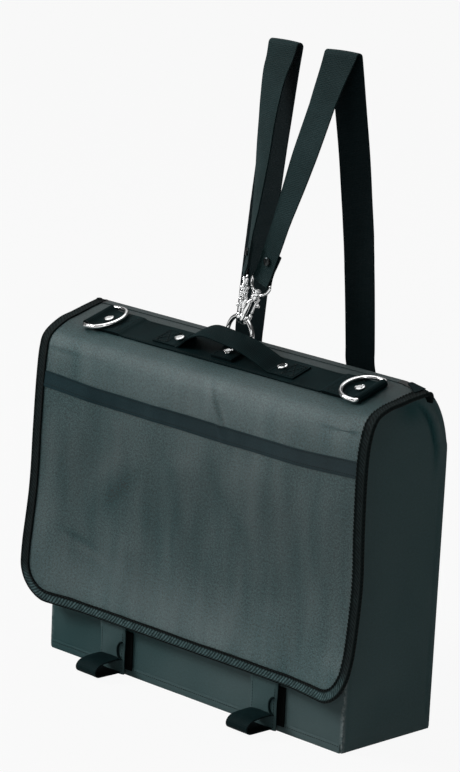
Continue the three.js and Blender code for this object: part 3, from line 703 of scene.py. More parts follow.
def flap_painted_light(x, v):
    """Painted light and shade on the hanging cloth, as a share of its tone: highlights below the
    shoulder and near the foot, shade on parts of the top, and light and shade along creases and
    streaks.
    """
    down = v - SHOULDER_AT
    drawn = v * 0.22
    streaks = cut_noise(x, drawn, 17 * MM, 81) * 0.3 + cut_noise(x, drawn, 7 * MM, 82) * 0.12
    tone = streaks * eased((down + 30 * MM) / (40 * MM))
    for middle, at, across, along, amount in FLAP_PAINTED_PATCHES:
        tone += hump(x, middle * MM, across * MM) * hump(down, at * MM, along * MM) * amount
    for middle, at, along, across, slope, amount in FLAP_CREASE_SHADING:
        aside = down - slope * (x - middle * MM)
        tone += hump(x, middle * MM, along * MM) * hump(aside, at * MM, across * MM) * amount
    # Painted shade in the fold that runs down just below the shoulder, right of the middle
    crease = hump(x - (down + 16 * MM) * 0.55, 16 * MM, 3 * MM) * hump(down, 12 * MM, 24 * MM)
    return tone - 0.5 * crease


def flap_smooth_place(x, v):
    """The flap's outer face at x across and v along from the back seam, without its ripples."""
    knots = np.arange(len(FLAP_MIDDLE))
    t = np.interp(v, MIDDLE_LINE.knots, knots)
    middle = MIDDLE_LINE(v)
    left = LEFT_LINE(np.interp(t, knots, LEFT_LINE.knots))
    right = RIGHT_LINE(np.interp(t, knots, RIGHT_LINE.knots))
    side = np.where((x < 0)[:, None], left, right)
    start = np.where(t < SHOULDER_POINT, DECK_HALF, SIDE_START)
    weight = eased((np.abs(x) - start) / (FLAP_HALF - start))[:, None]
    section = middle * (1 - weight) + side * weight
    return np.column_stack([x, section[:, 0], section[:, 1]])


def flap_ripple(x, v):
    """How far the cloth of the hanging front stands off its smooth shape."""
    down = v - SHOULDER_AT
    calm = eased((down + 20 * MM) / (40 * MM)) * eased((FLAP_LENGTH - v) / (30 * MM) + 0.3)
    lift = cut_noise(x, v, 120 * MM, 1) * 1.8 * MM + cut_noise(x, v * 0.3, 30 * MM, 2) * 0.5 * MM
    folds = np.zeros_like(x)
    for middle, top, foot, width, depth, drift in FLAP_FOLDS:
        reach = eased((down - top * MM) / (26 * MM)) * eased((foot * MM - down) / (60 * MM))
        aside = (down - top * MM) * drift
        folds += reach * hump(x - aside, middle * MM, width * MM) * depth * MM
    return calm * lift + folds * eased((FLAP_HALF - np.abs(x)) / (20 * MM))


def flap_normal(x, v):
    step = 0.5 * MM
    along = flap_smooth_place(x, v + step) - flap_smooth_place(x, v - step)
    across = flap_smooth_place(x + step, v) - flap_smooth_place(x - step, v)
    return unit_rows(np.cross(along, across))


def flap_place(x, v, height=0.0):
    """The flap's outer face with its folds, or a place at some height over it."""
    rise = flap_ripple(x, v) + height
    return flap_smooth_place(x, v) + flap_normal(x, v) * np.asarray(rise)[:, None]


def corner_inset(v, inset):
    """How far the flap's side edge turns in at its rounded lower corners."""
    radius = FLAP_CORNER - inset
    reach = np.clip(v - (FLAP_LENGTH - FLAP_CORNER), 0, radius)
    return radius - np.sqrt(np.maximum(radius**2 - reach**2, 0))


def along_at_height(z):
    """How far along the flap's middle a height of its front is."""
    front = MIDDLE_LINE.at_length > SHOULDER_AT
    heights = MIDDLE_LINE.points[front, 1]
    return float(np.interp(-z, -heights, MIDDLE_LINE.at_length[front]))


def blend_shoulder(piece):
    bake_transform(piece)


def make_flap():
    inset = 3 * MM
    flap = flat_cloth("flap_cloth", 2, 1, 180, 140)
    straight = (FLAP_LENGTH - FLAP_CORNER) / FLAP_LENGTH
    flat = points_of(flap)
    u, w = flat[:, 0], flat[:, 1]
    turn = np.sin(np.clip((w - straight) / (1 - straight), 0, 1) * math.pi / 2)
    round_v = FLAP_LENGTH - FLAP_CORNER + (FLAP_CORNER - inset) * turn
    v = np.where(w < straight, w * FLAP_LENGTH, round_v)
    x = u * (FLAP_HALF - inset - corner_inset(v, inset))
    shape(flap, lambda *_: flap_place(x, v))
    write_uv(flap, np.column_stack([x, v]))
    face_away(flap, INSIDE)
    thicken(flap, CLOTH)
    # Painted highlights and painted shade on the flap's cloth
    paint(flap, "tone", np.tile(flap_painted_light(x, v), 2))
    smooth(flap)
    finish_piece(flap, FLAP_CLOTH, None, "cloth", "flap_top_panel", "flap_front_panel")
    blend_shoulder(flap)


def make_band():
    """The sewn band across the upper front: a hem whose lower edge stands off the flap."""
    top = along_at_height(BAND_TOP)
    foot = along_at_height(BAND_FOOT)
    band = flat_cloth("band_cloth", 2 * BAND_HALF, foot - top, 180, 10)

    def place(x, down):
        share = down / (foot - top)
        rise = (0.75 + 0.35 * hump(share, 0.86, 0.12) + 0.25 * share) * MM
        wave = cut_noise(x, down, 60 * MM, 31) * 0.5 * MM
        return flap_place(x, top + down + wave * share, rise)

    shape(band, place)
    face_away(band, INSIDE)
    thicken(band, 0.7 * MM)
    # Painted light: the band is made paler towards its right end
    paint(band, "tone", 0.3 * eased((points_of(band)[:, 0] / BAND_HALF + 1) / 2))
    smooth(band)
    finish_piece(band, BAND_CLOTH, "flap_front", "band_cloth", "flap_band")
    x = np.linspace(-BAND_HALF, BAND_HALF, 160)
    rows = []
    for down, rise in ((1.6 * MM, 0.9 * MM), (foot - top - 3.2 * MM, 1.3 * MM)):
        v = np.full_like(x, top + down)
        rows.append((flap_place(x, v, rise), flap_normal(x, v)))
    sew("band_stitches", rows, BLACK_THREAD, "flap_front", "band_cloth", pitch=3 * MM, radius=0.28 * MM)


# The tape round the flap's edge


def flap_edge():
    """The flap's edge from the back left round to the back right, with the way inwards."""
    straight = FLAP_LENGTH - FLAP_CORNER
    side_steps, turn_steps, bottom_steps = 110, 20, 120
    spots = [(-FLAP_HALF, straight * i / side_steps) for i in range(side_steps)]
    ways = [(1, 0)] * side_steps
    for i in range(turn_steps + 1):
        angle = math.pi / 2 * i / turn_steps
        x = -FLAP_HALF + FLAP_CORNER * (1 - math.cos(angle))
        spots.append((x, straight + FLAP_CORNER * math.sin(angle)))
        ways.append((math.cos(angle), -math.sin(angle)))
    back = [((-x, v), (-a, b)) for (x, v), (a, b) in zip(reversed(spots), reversed(ways))]
    reach = FLAP_HALF - FLAP_CORNER
    spots += [(-reach + 2 * reach * i / bottom_steps, FLAP_LENGTH) for i in range(1, bottom_steps)]
    ways += [(0, -1)] * (bottom_steps - 1)
    spots += [spot for spot, _ in back]
    ways += [way for _, way in back]
    return np.array(spots), np.array(ways)


def make_tape():
    spots, ways = flap_edge()
    lengths = lengths_of(spots)
    section = Line(np.array(TAPE_SECTION) * MM, closed=True, samples=6)
    tape = flat_cloth("flap_tape", section.length, lengths[-1], 34, 640)
    flat = points_of(tape)
    around = flat[:, 0] + section.length / 2
    along = flat[:, 1]
    inward, height = section(around).T
    at = drawn_along(spots, lengths, along)
    way = drawn_along(ways, lengths, along)
    slack = cut_noise(along, along * 0, 26 * MM, 5) * 0.6 * MM
    reach = inward + slack * (inward / TAPE_WIDTH)
    x = at[:, 0] + way[:, 0] * reach
    v = at[:, 1] + way[:, 1] * reach
    shape(tape, lambda *_: flap_place(x, v, height))
    # Painted light and shade: the tape is darkened, most near the back seam, and made much paler along
    # the flap's bottom edge
    bottom = 2.4 * eased((v - FLAP_LENGTH + 40 * MM) / (30 * MM))
    tape_finish(tape, inward, height, along, bottom - 0.85 + 0.25 * eased(v / (40 * MM)))
    finish_piece(tape, TAPE, None, "tape", "top_binding_left", "top_binding_right", "front_binding")
    blend_shoulder(tape)
    x, v = (spots + ways * TAPE_SEAM).T
    rows = [(flap_place(x, v, 1.6 * MM), flap_normal(x, v))]
    blend_shoulder(sew(
        "tape_stitches", rows, BLACK_THREAD, None, "tape",
        pitch=4.2 * MM, radius=0.55 * MM, fill=0.9, slant=0.45,
    ))


def tape_finish(tape, inward, height, along, tone):
    """Gives a tube of tape its UV map, its tone and its closed ends."""
    write_uv(tape, np.column_stack([np.where(height < -0.5 * MM, -inward, inward), along]))
    paint(tape, "tone", tone)
    close_ends(tape)
    outwards(tape)
    smooth(tape, angle=60)


# The cloth body


def rear_line():
    """The rear wall's section from the floor up, as (y, z), rounding forward to the back seam."""
    reach = BODY_REAR + REAR_LEAN - SEAM_Y
    rise = SEAM_Z - REAR_SHOULDER
    turn = [
        (SEAM_Y + reach * math.cos(angle), REAR_SHOULDER + rise * math.sin(angle))
        for angle in (math.pi / 2 * i / 6 for i in range(7))
    ]
    return Line([(BODY_REAR, 0), (BODY_REAR + REAR_LEAN / 2, REAR_SHOULDER / 2)] + turn)


REAR_LINE = rear_line()
UNDER_FLAP = MIDDLE_LINE.points[MIDDLE_LINE.at_length <= SHOULDER_AT]
BODY_DEPTH = BODY_REAR - BODY_FRONT
AROUND = 2 * (2 * HALF_WIDTH + BODY_REAR - BODY_FRONT)


def rear_y(z):
    """How far back the rear wall is at a height."""
    order = np.argsort(REAR_LINE.points[:, 1])
    return np.interp(z, REAR_LINE.points[order, 1], REAR_LINE.points[order, 0])


def mouth_z(y):
    """The height of the side walls' top edge, a little under the flap."""
    order = np.argsort(UNDER_FLAP[:, 0])
    return np.interp(y, UNDER_FLAP[order, 0], UNDER_FLAP[order, 1]) - MOUTH_DROP


def round_the_body(share):
    """Where a share of the way round is: x from -1 to 1, the share of the depth, the wall's number."""
    lengths = np.array([2 * HALF_WIDTH, BODY_DEPTH, 2 * HALF_WIDTH, BODY_DEPTH])
    starts = np.concatenate([[0], np.cumsum(lengths)[:3]])
    d = (share % 1.0) * AROUND
    wall = np.clip(np.searchsorted(starts, d + 1e-9, side="right") - 1, 0, 3)
    local = (d - starts[wall]) / lengths[wall]
    local = local - 0.07 * np.sin(math.tau * local)
    walls = [wall == 0, wall == 1, wall == 2]
    x = np.select(walls, [2 * local - 1, 1 + 0 * local, 1 - 2 * local], -1)
    w = np.select(walls, [0 * local, local, 1 + 0 * local], 1 - local)
    return x, w, wall


def body_place(u, v):
    """A place on the cloth shell: u goes round it, v from the middle of its bottom to its mouth."""
    x, w, wall = round_the_body(u + 0.5)
    up = np.clip((v - BOTTOM_SHARE) / (1 - BOTTOM_SHARE), 0, 1)
    inward = np.clip((BOTTOM_SHARE - v) / BOTTOM_SHARE, 0, 1)
    top_y = BODY_FRONT + (SEAM_Y - BODY_FRONT) * w
    for _ in range(12):
        top = mouth_z(top_y)
        top_y = BODY_FRONT + (rear_y(top) - BODY_FRONT) * w
    top = np.where(wall == 0, FRONT_TOP, top)
    top = np.where(wall == 2, SEAM_Z, top)
    top = np.where((wall == 1) | (wall == 3), FRONT_TOP + (top - FRONT_TOP) * eased(w / 0.12), top)
    z = up * top
    y = BODY_FRONT + (rear_y(z) - BODY_FRONT) * w
    y = y + ((BODY_FRONT + BODY_REAR) / 2 - y) * inward
    across = x * (HALF_WIDTH - inward * BODY_DEPTH / 2)
    points = np.column_stack([across, y, z])
    return points + body_sag(points, x, w, wall, z)


def body_sag(points, x, w, wall, z):
    """Soft hollows and folds of the walls, fading at the seams."""
    out = np.zeros_like(points)
    front, rear = wall == 0, wall == 2
    within = np.where(front | rear, 1 - x**2, np.clip(4 * w * (1 - w), 0, 1))
    amount = within * eased((z - 12 * MM) / (45 * MM)) * eased((SEAM_Z - z) / (60 * MM) + 0.15)
    ripple = soft_noise(points, 110 * MM, 8) * 1.8 * MM + soft_noise(points, 40 * MM, 9) * 0.35 * MM
    sign = np.where(x > 0, 1.0, -1.0)
    side = sign * (amount * (ripple - 3.0 * MM) + gusset_fold(w, z))
    out[:, 0] += np.where(front | rear, 0, side)
    out[:, 1] += np.where(front, -amount * (ripple - 0.4 * MM), 0)
    out[:, 1] += np.where(rear, amount * (ripple * 0.6 - 1.7 * MM), 0)
    return out


def gusset_fold(w, z):
    """The side wall's folds: one down from the flap's rear corner, and the seam near the rear edge."""
    down = (SEAM_Z - 9 * MM - z) / (105 * MM)
    here = eased(down * 4) * eased(1.5 - down * 1.5)
    drop = np.clip(down, 0, 1.5)
    crease = 0.69 + 0.22 * (1 - np.exp(-7 * drop))
    spread = 0.026 + 0.03 * np.exp(-8 * drop)
    fold = hump(w, crease + 0.035, 0.022) * 2.4 * MM - hump(w, crease - 0.02, spread) * 4.2 * MM
    seam = hump(w, 0.95, 0.012) * -0.7 * MM + hump(w, 0.05, 0.012) * -0.5 * MM
    return here * fold + seam * eased((z - 4 * MM) / (14 * MM))


def body_painted_light(places):
    """Painted light and shade: the front wall is made paler towards its right end, and the side walls
    are made paler, with painted light and shade along their folds and a painted shadow under the flap's
    rear corner.
    """
    x, y, z = places.T
    depth_share = (y - BODY_FRONT) / (rear_y(z) - BODY_FRONT)
    front = 0.9 * eased((x / HALF_WIDTH + 1) / 1.8) + 0.15 * soft_noise(places, 40 * MM, 92)
    hollow = hump(depth_share, 0.66, 0.14) * hump(z, SEAM_Z - 24 * MM, 14 * MM)
    fold = 0.95 * gusset_fold(depth_share, z) / (3.4 * MM)
    side = 0.42 + 0.08 * soft_noise(places, 60 * MM, 91) + fold - 0.9 * hollow
    on_side = np.abs(x) > HALF_WIDTH - 12 * MM
    return np.where(y < BODY_FRONT + 4 * MM, front, np.where(on_side, side, 0))


def make_body():
    """One cloth shell: four walls that go up from a closed bottom to an open mouth."""
    shell = flat_cloth("bag_cloth", 1, 1, 280, 130)
    flat = points_of(shell)
    u, v = flat[:, 0], flat[:, 1]
    shape(shell, body_place)
    wall_length = SEAM_Z / (1 - BOTTOM_SHARE)
    write_uv(shell, np.column_stack([u * AROUND, v * wall_length]))
    edit_all(shell)
    bpy.ops.mesh.remove_doubles(threshold=0.3 * MM)
    bpy.ops.mesh.vertices_smooth(factor=0.5, repeat=1)
    bpy.ops.mesh.normals_make_consistent(inside=False)
    leave_edit()
    face_away(shell, Vector((0, 0, 0.15)))
    thicken(shell, CLOTH)
    places = points_of(shell)
    x, y, z = places.T
    corner = np.hypot(np.abs(x) - HALF_WIDTH, y - BODY_FRONT)
    foot = np.hypot(np.minimum(np.abs(y - BODY_FRONT), np.abs(y - BODY_REAR)), z)
    wear = np.maximum(np.exp(-(corner / (2.4 * MM)) ** 2), 0.6 * np.exp(-(foot / (2.6 * MM)) ** 2))
    paint(shell, "wear", wear)
    # Painted light and shade on the walls
    paint(shell, "tone", body_painted_light(places))
    smooth(shell, angle=50)
    finish_piece(
        shell, SIDE_CLOTH, "bag_body", "side_cloth",
        "front_panel", "rear_panel", "left_gusset", "right_gusset", "bottom_panel",
    )


def make_foot_bands():
    """The folded strips of cloth along the front and rear bottom seams."""
    rows = []
    bands = []
    for sign, y0 in ((-1, BODY_FRONT), (1, BODY_REAR)):
        band = flat_cloth("band", 2 * HALF_WIDTH - 6 * MM, FOOT_BAND, 160, 8)

        def place(x, z):
            belly = 1 - ((z - FOOT_BAND / 2) / (FOOT_BAND / 2)) ** 2
            wave = cut_noise(x, z, 30 * MM, 17 + sign) * 0.25 * MM
            lift = (0.35 + 0.75 * belly) * MM + wave
            return np.column_stack([x, y0 + sign * lift, z + 0.4 * MM + wave * z / FOOT_BAND])

        shape(band, place)
        face_away(band, Vector((0, 0, 0.005)))
        thicken(band, 0.6 * MM)
        # Painted light and shade, as on the walls
        paint(band, "tone", body_painted_light(points_of(band)))
        smooth(band)
        bands.append(band)
        x = np.linspace(-HALF_WIDTH + 4 * MM, HALF_WIDTH - 4 * MM, 80)
        row = np.column_stack([x, x * 0 + y0 + sign * 1.0 * MM, x * 0 + FOOT_BAND * 0.78])
        rows.append((row, np.tile([0.0, sign, 0.0], (len(x), 1))))
    finish_piece(join("foot_bands", bands), SIDE_CLOTH, "bag_body", "side_cloth")
    sew("foot_stitches", rows, BLACK_THREAD, "bag_body", "side_cloth", pitch=3.2 * MM)


def back_seam_place(x, d):
    """The strip over the back seam: on the flap before it (d below 0), on the rear wall behind it."""
    beyond = eased((np.abs(x) - HALF_WIDTH + 16 * MM) / (18 * MM))
    d = np.where(d > 0, d * (1 - 0.8 * beyond), d)
    on_flap = flap_place(x, np.maximum(-d, 0), 0.9 * MM)
    y = SEAM_Y + np.maximum(d, 0)
    order = np.argsort(REAR_LINE.points[:, 0])
    top = REAR_LINE.points[:, 1] > REAR_SHOULDER
    order = [i for i in order if top[i]]
    wall = np.interp(y, REAR_LINE.points[order, 0], REAR_LINE.points[order, 1]) + 1.1 * MM
    edge = flap_place(x, np.zeros_like(x), 0.9 * MM)
    ease = eased(d / (9 * MM))
    behind = np.column_stack([x, y, edge[:, 2] * (1 - ease) + wall * ease])
    return np.where((d > 0)[:, None], behind, on_flap)


def finish_at_seam(piece, material, slot):
    """Finishes a piece that bends where the flap's top meets the rear wall."""
    smooth(piece)
    finish_piece(piece, material, None, slot)
    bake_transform(piece)


def make_back_seam():
    """The folded strip that covers the seam where the flap is sewn to the rear wall."""
    strip = flat_cloth("back_seam", 2 * SEAM_STRIP_HALF, SEAM_STRIP_FRONT + SEAM_STRIP_REAR, 150, 16)
    shape(strip, lambda x, v: back_seam_place(x, v - SEAM_STRIP_FRONT))
    face_away(strip, INSIDE)
    thicken(strip, 0.9 * MM)
    across = points_of(strip)[:, 0]
    start = np.where(across > 0, HALF_WIDTH - 16 * MM, HALF_WIDTH + 4 * MM)
    paint(strip, "tone", -1.3 * eased((np.abs(across) - start) / (3 * MM)))
    finish_at_seam(strip, FLAP_CLOTH, "cloth")
    reach = SEAM_STRIP_HALF - 32 * MM
    x = np.linspace(-reach, reach, 140)
    line = back_seam_place(x, np.full_like(x, SEAM_STRIP_REAR - 2.5 * MM))
    rows = [(line + np.array([0, 0, 0.15]) * MM, np.tile([0.0, 0.3, 0.95], (len(x), 1)))]
    sew("back_seam_stitches", rows, BLACK_THREAD, "bag_body", "cloth", pitch=3.2 * MM)


def make_seam_corner():
    """A dark piece over the right rear corner, between the back seam and the binding tape."""
    start, end = HALF_WIDTH - 4 * MM, SEAM_STRIP_HALF
    corner = flat_cloth("seam_corner", 1, 1, 14, 20)
    flat = points_of(corner)
    across = flat[:, 0] + 0.5
    x = start + (end - start) * across
    reach = (4 + 8 * across) * MM
    d = (SEAM_STRIP_REAR + reach) * flat[:, 1] - reach
    shape(corner, lambda *_: back_seam_place(x, d) + np.array([0, 0.3, 0.95]) * 1.1 * MM)
    write_uv(corner, np.column_stack([x, d]))
    face_away(corner, INSIDE)
    thicken(corner, 0.7 * MM)
    finish_at_seam(corner, DARK_WEBBING, "webbing")


def make_tape_tails():
    """The ends of the binding tape, sewn down over the rear corners."""
    section = Line(np.array(TAPE_SECTION) * MM, closed=True, samples=3)
    tails = []
    for side in (-1, 1):
        corner = flap_smooth_place(np.array([side * FLAP_HALF]), np.zeros(1))[0]
        way = Line([(corner[1] + y * MM, corner[2] + z * MM) for y, z in TAIL_WAY])
        tail = flat_cloth("tail", section.length, way.length, 30, 16)
        flat = points_of(tail)
        inward, height = section(flat[:, 0] + section.length / 2).T
        along = flat[:, 1]
        spot = way(along)
        ahead = unit_rows(way(along + 0.5 * MM) - way(along - 0.5 * MM))
        close = 1 - 0.45 * eased((along - way.length + 8 * MM) / (8 * MM))
        x = side * (FLAP_HALF - inward * close)
        y = spot[:, 0] - ahead[:, 1] * height * close
        z = spot[:, 1] + ahead[:, 0] * height * close
        shape(tail, lambda *_: np.column_stack([x, y, z]))
        # Painted shade, as on the sides of the flap's tape
        tape_finish(tail, inward, height, along, np.full(len(x), -0.85))
        tails.append(tail)
    finish_piece(join("tape_tails", tails), TAPE, "bag_body", "tape")


# The strip, the handle, the rings and the rivets on the sloping top


def deck(x, y, h):
    """A place on the top: x across, y up the slope and h above its cloth."""
    x, y, h = (part.ravel() for part in np.broadcast_arrays(*(np.asarray(p, float) for p in (x, y, h))))
    cos, sin = math.cos(DECK_TILT), math.sin(DECK_TILT)
    return np.column_stack([
        DECK_MIDDLE.x + x,
        DECK_MIDDLE.y + y * cos - h * sin,
        DECK_MIDDLE.z + y * sin + h * cos,
    ])


DECK_UP = np.array([0, -math.sin(DECK_TILT), math.cos(DECK_TILT)])
DECK_FRAME = Matrix.Translation(DECK_MIDDLE) @ Matrix.Rotation(DECK_TILT, 4, "X")
LOW = GAP + WEBBING / 2
TURN = RING_WIRE / 2 + GAP + WEBBING / 2
WRAP = math.pi + math.radians(28)


def deck_row(points, height):
    """A row of sewing between flat points on the top."""
    (x0, y0), (x1, y1) = points
    line = deck(np.linspace(x0, x1, 14), np.linspace(y0, y1, 14), height)
    return line, np.tile(DECK_UP, (len(line), 1))


def webbing_sheet(name, width, line, place, along, outside, across=10):
    """A length of webbing whose middle follows a line; place turns (across, along) into places."""
    sheet = flat_cloth(name, width, line.length, across, along)
    shape(sheet, place)
    turn_towards(sheet, outside)
    thicken(sheet, WEBBING, offset=0)
    smooth(sheet, angle=55)
    return sheet


def wrap(middle, height):
    """The way of webbing round a ring's bar, as (along, h)."""
    angles = [-math.pi / 2 + WRAP * i / 8 for i in range(9)]
    return [(middle + TURN * math.cos(a), height + TURN * math.sin(a)) for a in angles]


def ring_fold(side):
    """The strip's middle line at one end, as (x, h): its tail, round the bar and the way back."""
    high = LOW + LAYER
    tail = [(RING_BAR_X - 50 * MM, LOW), (RING_BAR_X - 20 * MM, LOW)]
    back = [(RING_BAR_X - far * MM, h) for far, h in ((10, high), (30, high), (49, high), (57, LOW))]
    return [(side * x, h) for x, h in tail + wrap(RING_BAR_X, RING_BAR_H) + back]


def make_strip():
    middle = [(x * MM, LOW) for x in (-110, -50, 0, 50, 110)]
    line = Line(ring_fold(-1) + middle + ring_fold(1)[::-1], samples=10)

    def place(u, v):
        x, h = line(v).T
        edge = cut_noise(v, u, 40 * MM, 12) * 0.25 * MM
        return deck(x, u + edge * (u / STRIP_HALF), h)

    strip = webbing_sheet("top_webbing", 2 * STRIP_HALF, line, place, 320, (0.5, DECK_UP))
    finish_piece(strip, DARK_WEBBING, "flap_top", "webbing", "top_strip")

    on_fold = 2 * LAYER + 0.1 * MM
    on_handle = 2 * LAYER + 0.45 * MM
    rows = []
    for side in (-1, 1):
        fold_box = box_rows(side * (RING_BAR_X - 47 * MM), side * (RING_BAR_X - 22 * MM), 16 * MM)
        rows += [deck_row(pair, on_fold) for pair in fold_box]
        handle_box = box_rows(side * 84 * MM, side * (HANDLE_OUTER - 2.5 * MM), 11.5 * MM)
        rows += [deck_row(pair, on_handle) for pair in handle_box]
        bar_x = side * 68.5 * MM
        rows.append(deck_row(((bar_x, -12 * MM), (bar_x, 12 * MM)), on_handle))
    for y in (2 * MM - STRIP_HALF, STRIP_HALF - 2 * MM):
        for x0, x1 in ((-140, -105), (-64, 64), (105, 140)):
            rows.append(deck_row(((x0 * MM, y), (x1 * MM, y)), LAYER + 0.1 * MM))
    sew("strip_stitches", rows, GREY_THREAD, "flap_top", "webbing", radius=0.45 * MM, fill=0.85)


def make_handle():
    foot = LAYER + LOW
    arch = [(x * HANDLE_ARCH, foot + z * HANDLE_RISE) for x, z in ARCH_SHARES]
    left, right = ([(x * MM, foot) for x in end] for end in ((-103, -90, -74), (74, 90, 103)))
    line = Line(left + arch + right, samples=16)

    def place(u, v):
        x, h = line(v).T
        rise = np.clip((h - foot) / HANDLE_RISE, 0, 1)
        curl = (u / HANDLE_HALF) ** 2
        return deck(x, u * (1 - 0.04 * rise), h - rise * curl * 1.2 * MM)

    handle = webbing_sheet(
        "handle_webbing", 2 * HANDLE_HALF, line, place, 220, (0.5, DECK_UP), across=12,
    )
    finish_piece(
        handle, DARK_WEBBING, "flap_top", "webbing",
        "carry_handle", "handle_end_left", "handle_end_right",
    )


def ring_wire(name, inside, depth):
    """A D-ring's wire: its bar on the Y axis, its bow towards +X."""
    half = (inside + RING_WIRE) / 2
    leg = depth * RING_LEG_SHARE
    corner = RING_CORNER
    points = [(0, y) for y in np.linspace(corner - half, half - corner, 8)]
    turn = [
        (corner * (1 - math.cos(a)), half - corner + corner * math.sin(a)) for a in (0.4, 0.8, 1.2)
    ]
    bow = [
        (leg + (depth - leg) * math.sin(a), half * math.cos(a)) for a in np.linspace(0, math.pi, 44)
    ]
    points += turn + [(corner, half)] + bow + [(corner, -half)]
    points += [(x, -y) for x, y in reversed(turn)]
    return rod(name, [Vector((x, y, 0)) for x, y in points], RING_WIRE / 2, closed=True)


def finish_metal(piece, matrix, angle, body, node, material=None):
    """Puts a metal piece in its place on a body, in the place of its node."""
    place_with(piece, matrix)
    smooth(piece, angle=angle)
    finish_piece(piece, material or NICKEL, body, "chrome", node)


def make_side_rings():
    for side, name in ((-1, "left"), (1, "right")):
        ring = ring_wire(f"side_ring_{name}", SIDE_RING_INSIDE, SIDE_RING_DEPTH)
        turn = Matrix.Rotation(math.pi, 4, "Z") if side > 0 else Matrix.Identity(4)
        lift = Matrix.Rotation(-SIDE_RING_LIFT, 4, "Y")
        spot = Matrix.Translation((side * RING_BAR_X, 0, RING_BAR_H))
        finish_metal(ring, DECK_FRAME @ spot @ turn @ lift, 60, f"ring_{name}", f"d_ring_{name}")


def rivet_cap(name, radius, height, shaft):
    """A domed rivet cap on its shaft."""
    cap = post(name, radius, 0, height, height * 0.15, vertices=36)
    select_faces(cap, lambda middle, normal: normal.z > 0.9 and middle.z > height * 0.9)
    for inset, rise in CAP_STEPS:
        bpy.ops.mesh.inset(thickness=radius * inset)
        bpy.ops.transform.translate(value=(0, 0, height * rise))
    leave_edit()
    stem = post("stem", radius * 0.38, -shaft, height * 0.3, radius * 0.05, vertices=20)
    return join(name, [cap, stem])


def make_rivets():
    """Domed rivet caps at the places of their solids."""
    spots = [("rivet_ring_tab", 0, TAB_RIVET_Y, 3)]
    for side, sign in (("left", -1), ("right", 1)):
        spots.append((f"rivet_d_ring_{side}", sign * SIDE_RIVET_X, 0, 2))
        spots.append((f"rivet_handle_{side}", sign * HANDLE_RIVET_X, 0, 2))
    for node, x, y, layers in spots:
        cap = rivet_cap(f"cap_{node}", RIVET_RADIUS, RIVET_HEIGHT * 0.85, 1.6 * LAYER)
        spot = Matrix.Translation((x, y, layers * LAYER + GAP))
        finish_metal(cap, DECK_FRAME @ spot, 50, "flap_top", node)


def make_centre_ring():
    """The upright ring, the tab that is folded round its bar, and the tab's sewing."""
    low = LAYER + LOW
    high = low + LAYER
    under = [(y, low) for y in (TAB_FRONT, -4 * MM, 4 * MM)]
    over = [(y, high) for y in (4 * MM, -4 * MM, TAB_FRONT)]
    line = Line(under + wrap(CENTRE_BAR_Y, CENTRE_BAR_H) + over, samples=10)
    tab = webbing_sheet(
        "ring_tab_webbing", 2 * TAB_HALF, line, lambda u, v: deck(u, *line(v).T), 60, (0.95, DECK_UP),
    )
    finish_piece(tab, DARK_WEBBING, "flap_top", "webbing", "ring_tab")
    half, front, rear = 13 * MM, TAB_FRONT + 2 * MM, 5 * MM
    pairs = [((-half, y), (half, y)) for y in (front, rear)]
    pairs += [((x, front), (x, rear)) for x in (-half, half)]
    rows = [deck_row(pair, 3 * LAYER + 0.1 * MM) for pair in pairs]
    sew("ring_tab_stitches", rows, BLACK_THREAD, "flap_top", "webbing")
    ring = ring_wire("centre_ring_wire", CENTRE_RING_INSIDE, CENTRE_RING_DEPTH)
    upright = Matrix(((0, 1, 0), (0, 0, 1), (1, 0, 0))).to_4x4()
    finish_metal(ring, STAND @ upright, 60, "flap_top", "centre_ring")


STAND = Matrix.Translation(DECK_FRAME @ Vector((0, CENTRE_BAR_Y, CENTRE_BAR_H)))

# Snap hooks


def hook_frame(settings):
    """Where a hook hangs on the centre ring's bow."""
    half = (CENTRE_RING_INSIDE + RING_WIRE) / 2
    leg = CENTRE_RING_DEPTH * RING_LEG_SHARE
    x = settings["hook"] * MM
    z = leg + (CENTRE_RING_DEPTH - leg) * math.sqrt(1 - (x / half) ** 2)
    tilt = Matrix.Rotation(math.radians(settings["tilt"]), 4, "X")
    lean = Matrix.Rotation(math.radians(settings["lean"]), 4, "Y")
    return STAND @ Matrix.Translation((x, 0, z)) @ tilt @ lean @ Matrix.Translation((0, 0, HOOK_LIFT))


def arc(centre_x, centre_z, radius, start, end, steps):
    return [
        Vector((centre_x + radius * math.cos(a), 0, centre_z + radius * math.sin(a)))
        for a in np.linspace(start, end, steps)
    ]


def make_hook(name, place):
    """The hook's cast body: a round rod in a long bend, its barrel, the collar and the stem."""
    points = [Vector((0, 0, ROD_END - 0.4 * MM)), Vector((1.6 * MM, 0, ROD_END - 0.3 * MM))]
    points += arc(HOOK_BEND - 3.6 * MM, ROD_END - 4.6 * MM, 3.6 * MM, math.pi / 2, 0, 7)
    points += [Vector((HOOK_BEND, 0, z)) for z in np.linspace(15, 2, 8) * MM]
    points += arc(0, BEND_MIDDLE, HOOK_BEND, 0, -math.pi, 22)
    points += [Vector((-HOOK_BEND, 0, BEND_MIDDLE + z * MM)) for z in (0.9, 1.7, 2.3, 2.7, 3.0)]
    shares = [0.85, 0.9] + [1.0] * (len(points) - 7) + [0.94, 0.9, 0.8, 0.62, 0.3]
    parts = [rod("bend", points, HOOK_ROD / 2, shares=shares)]
    for part, *sizes in HOOK_POSTS:
        parts.append(post(part, *metres(sizes)))
    place_with(parts[1], Matrix.Translation((HOOK_BEND, 0, 0)))
    for part, low, high, bevel in HOOK_BLOCKS:
        parts.append(block(part, metres(low), metres(high), bevel * MM))
    hook = join(f"snap_hook_{name}", parts)
    finish_metal(hook, place, 45, f"hook_{name}", f"hook_body_{name}")


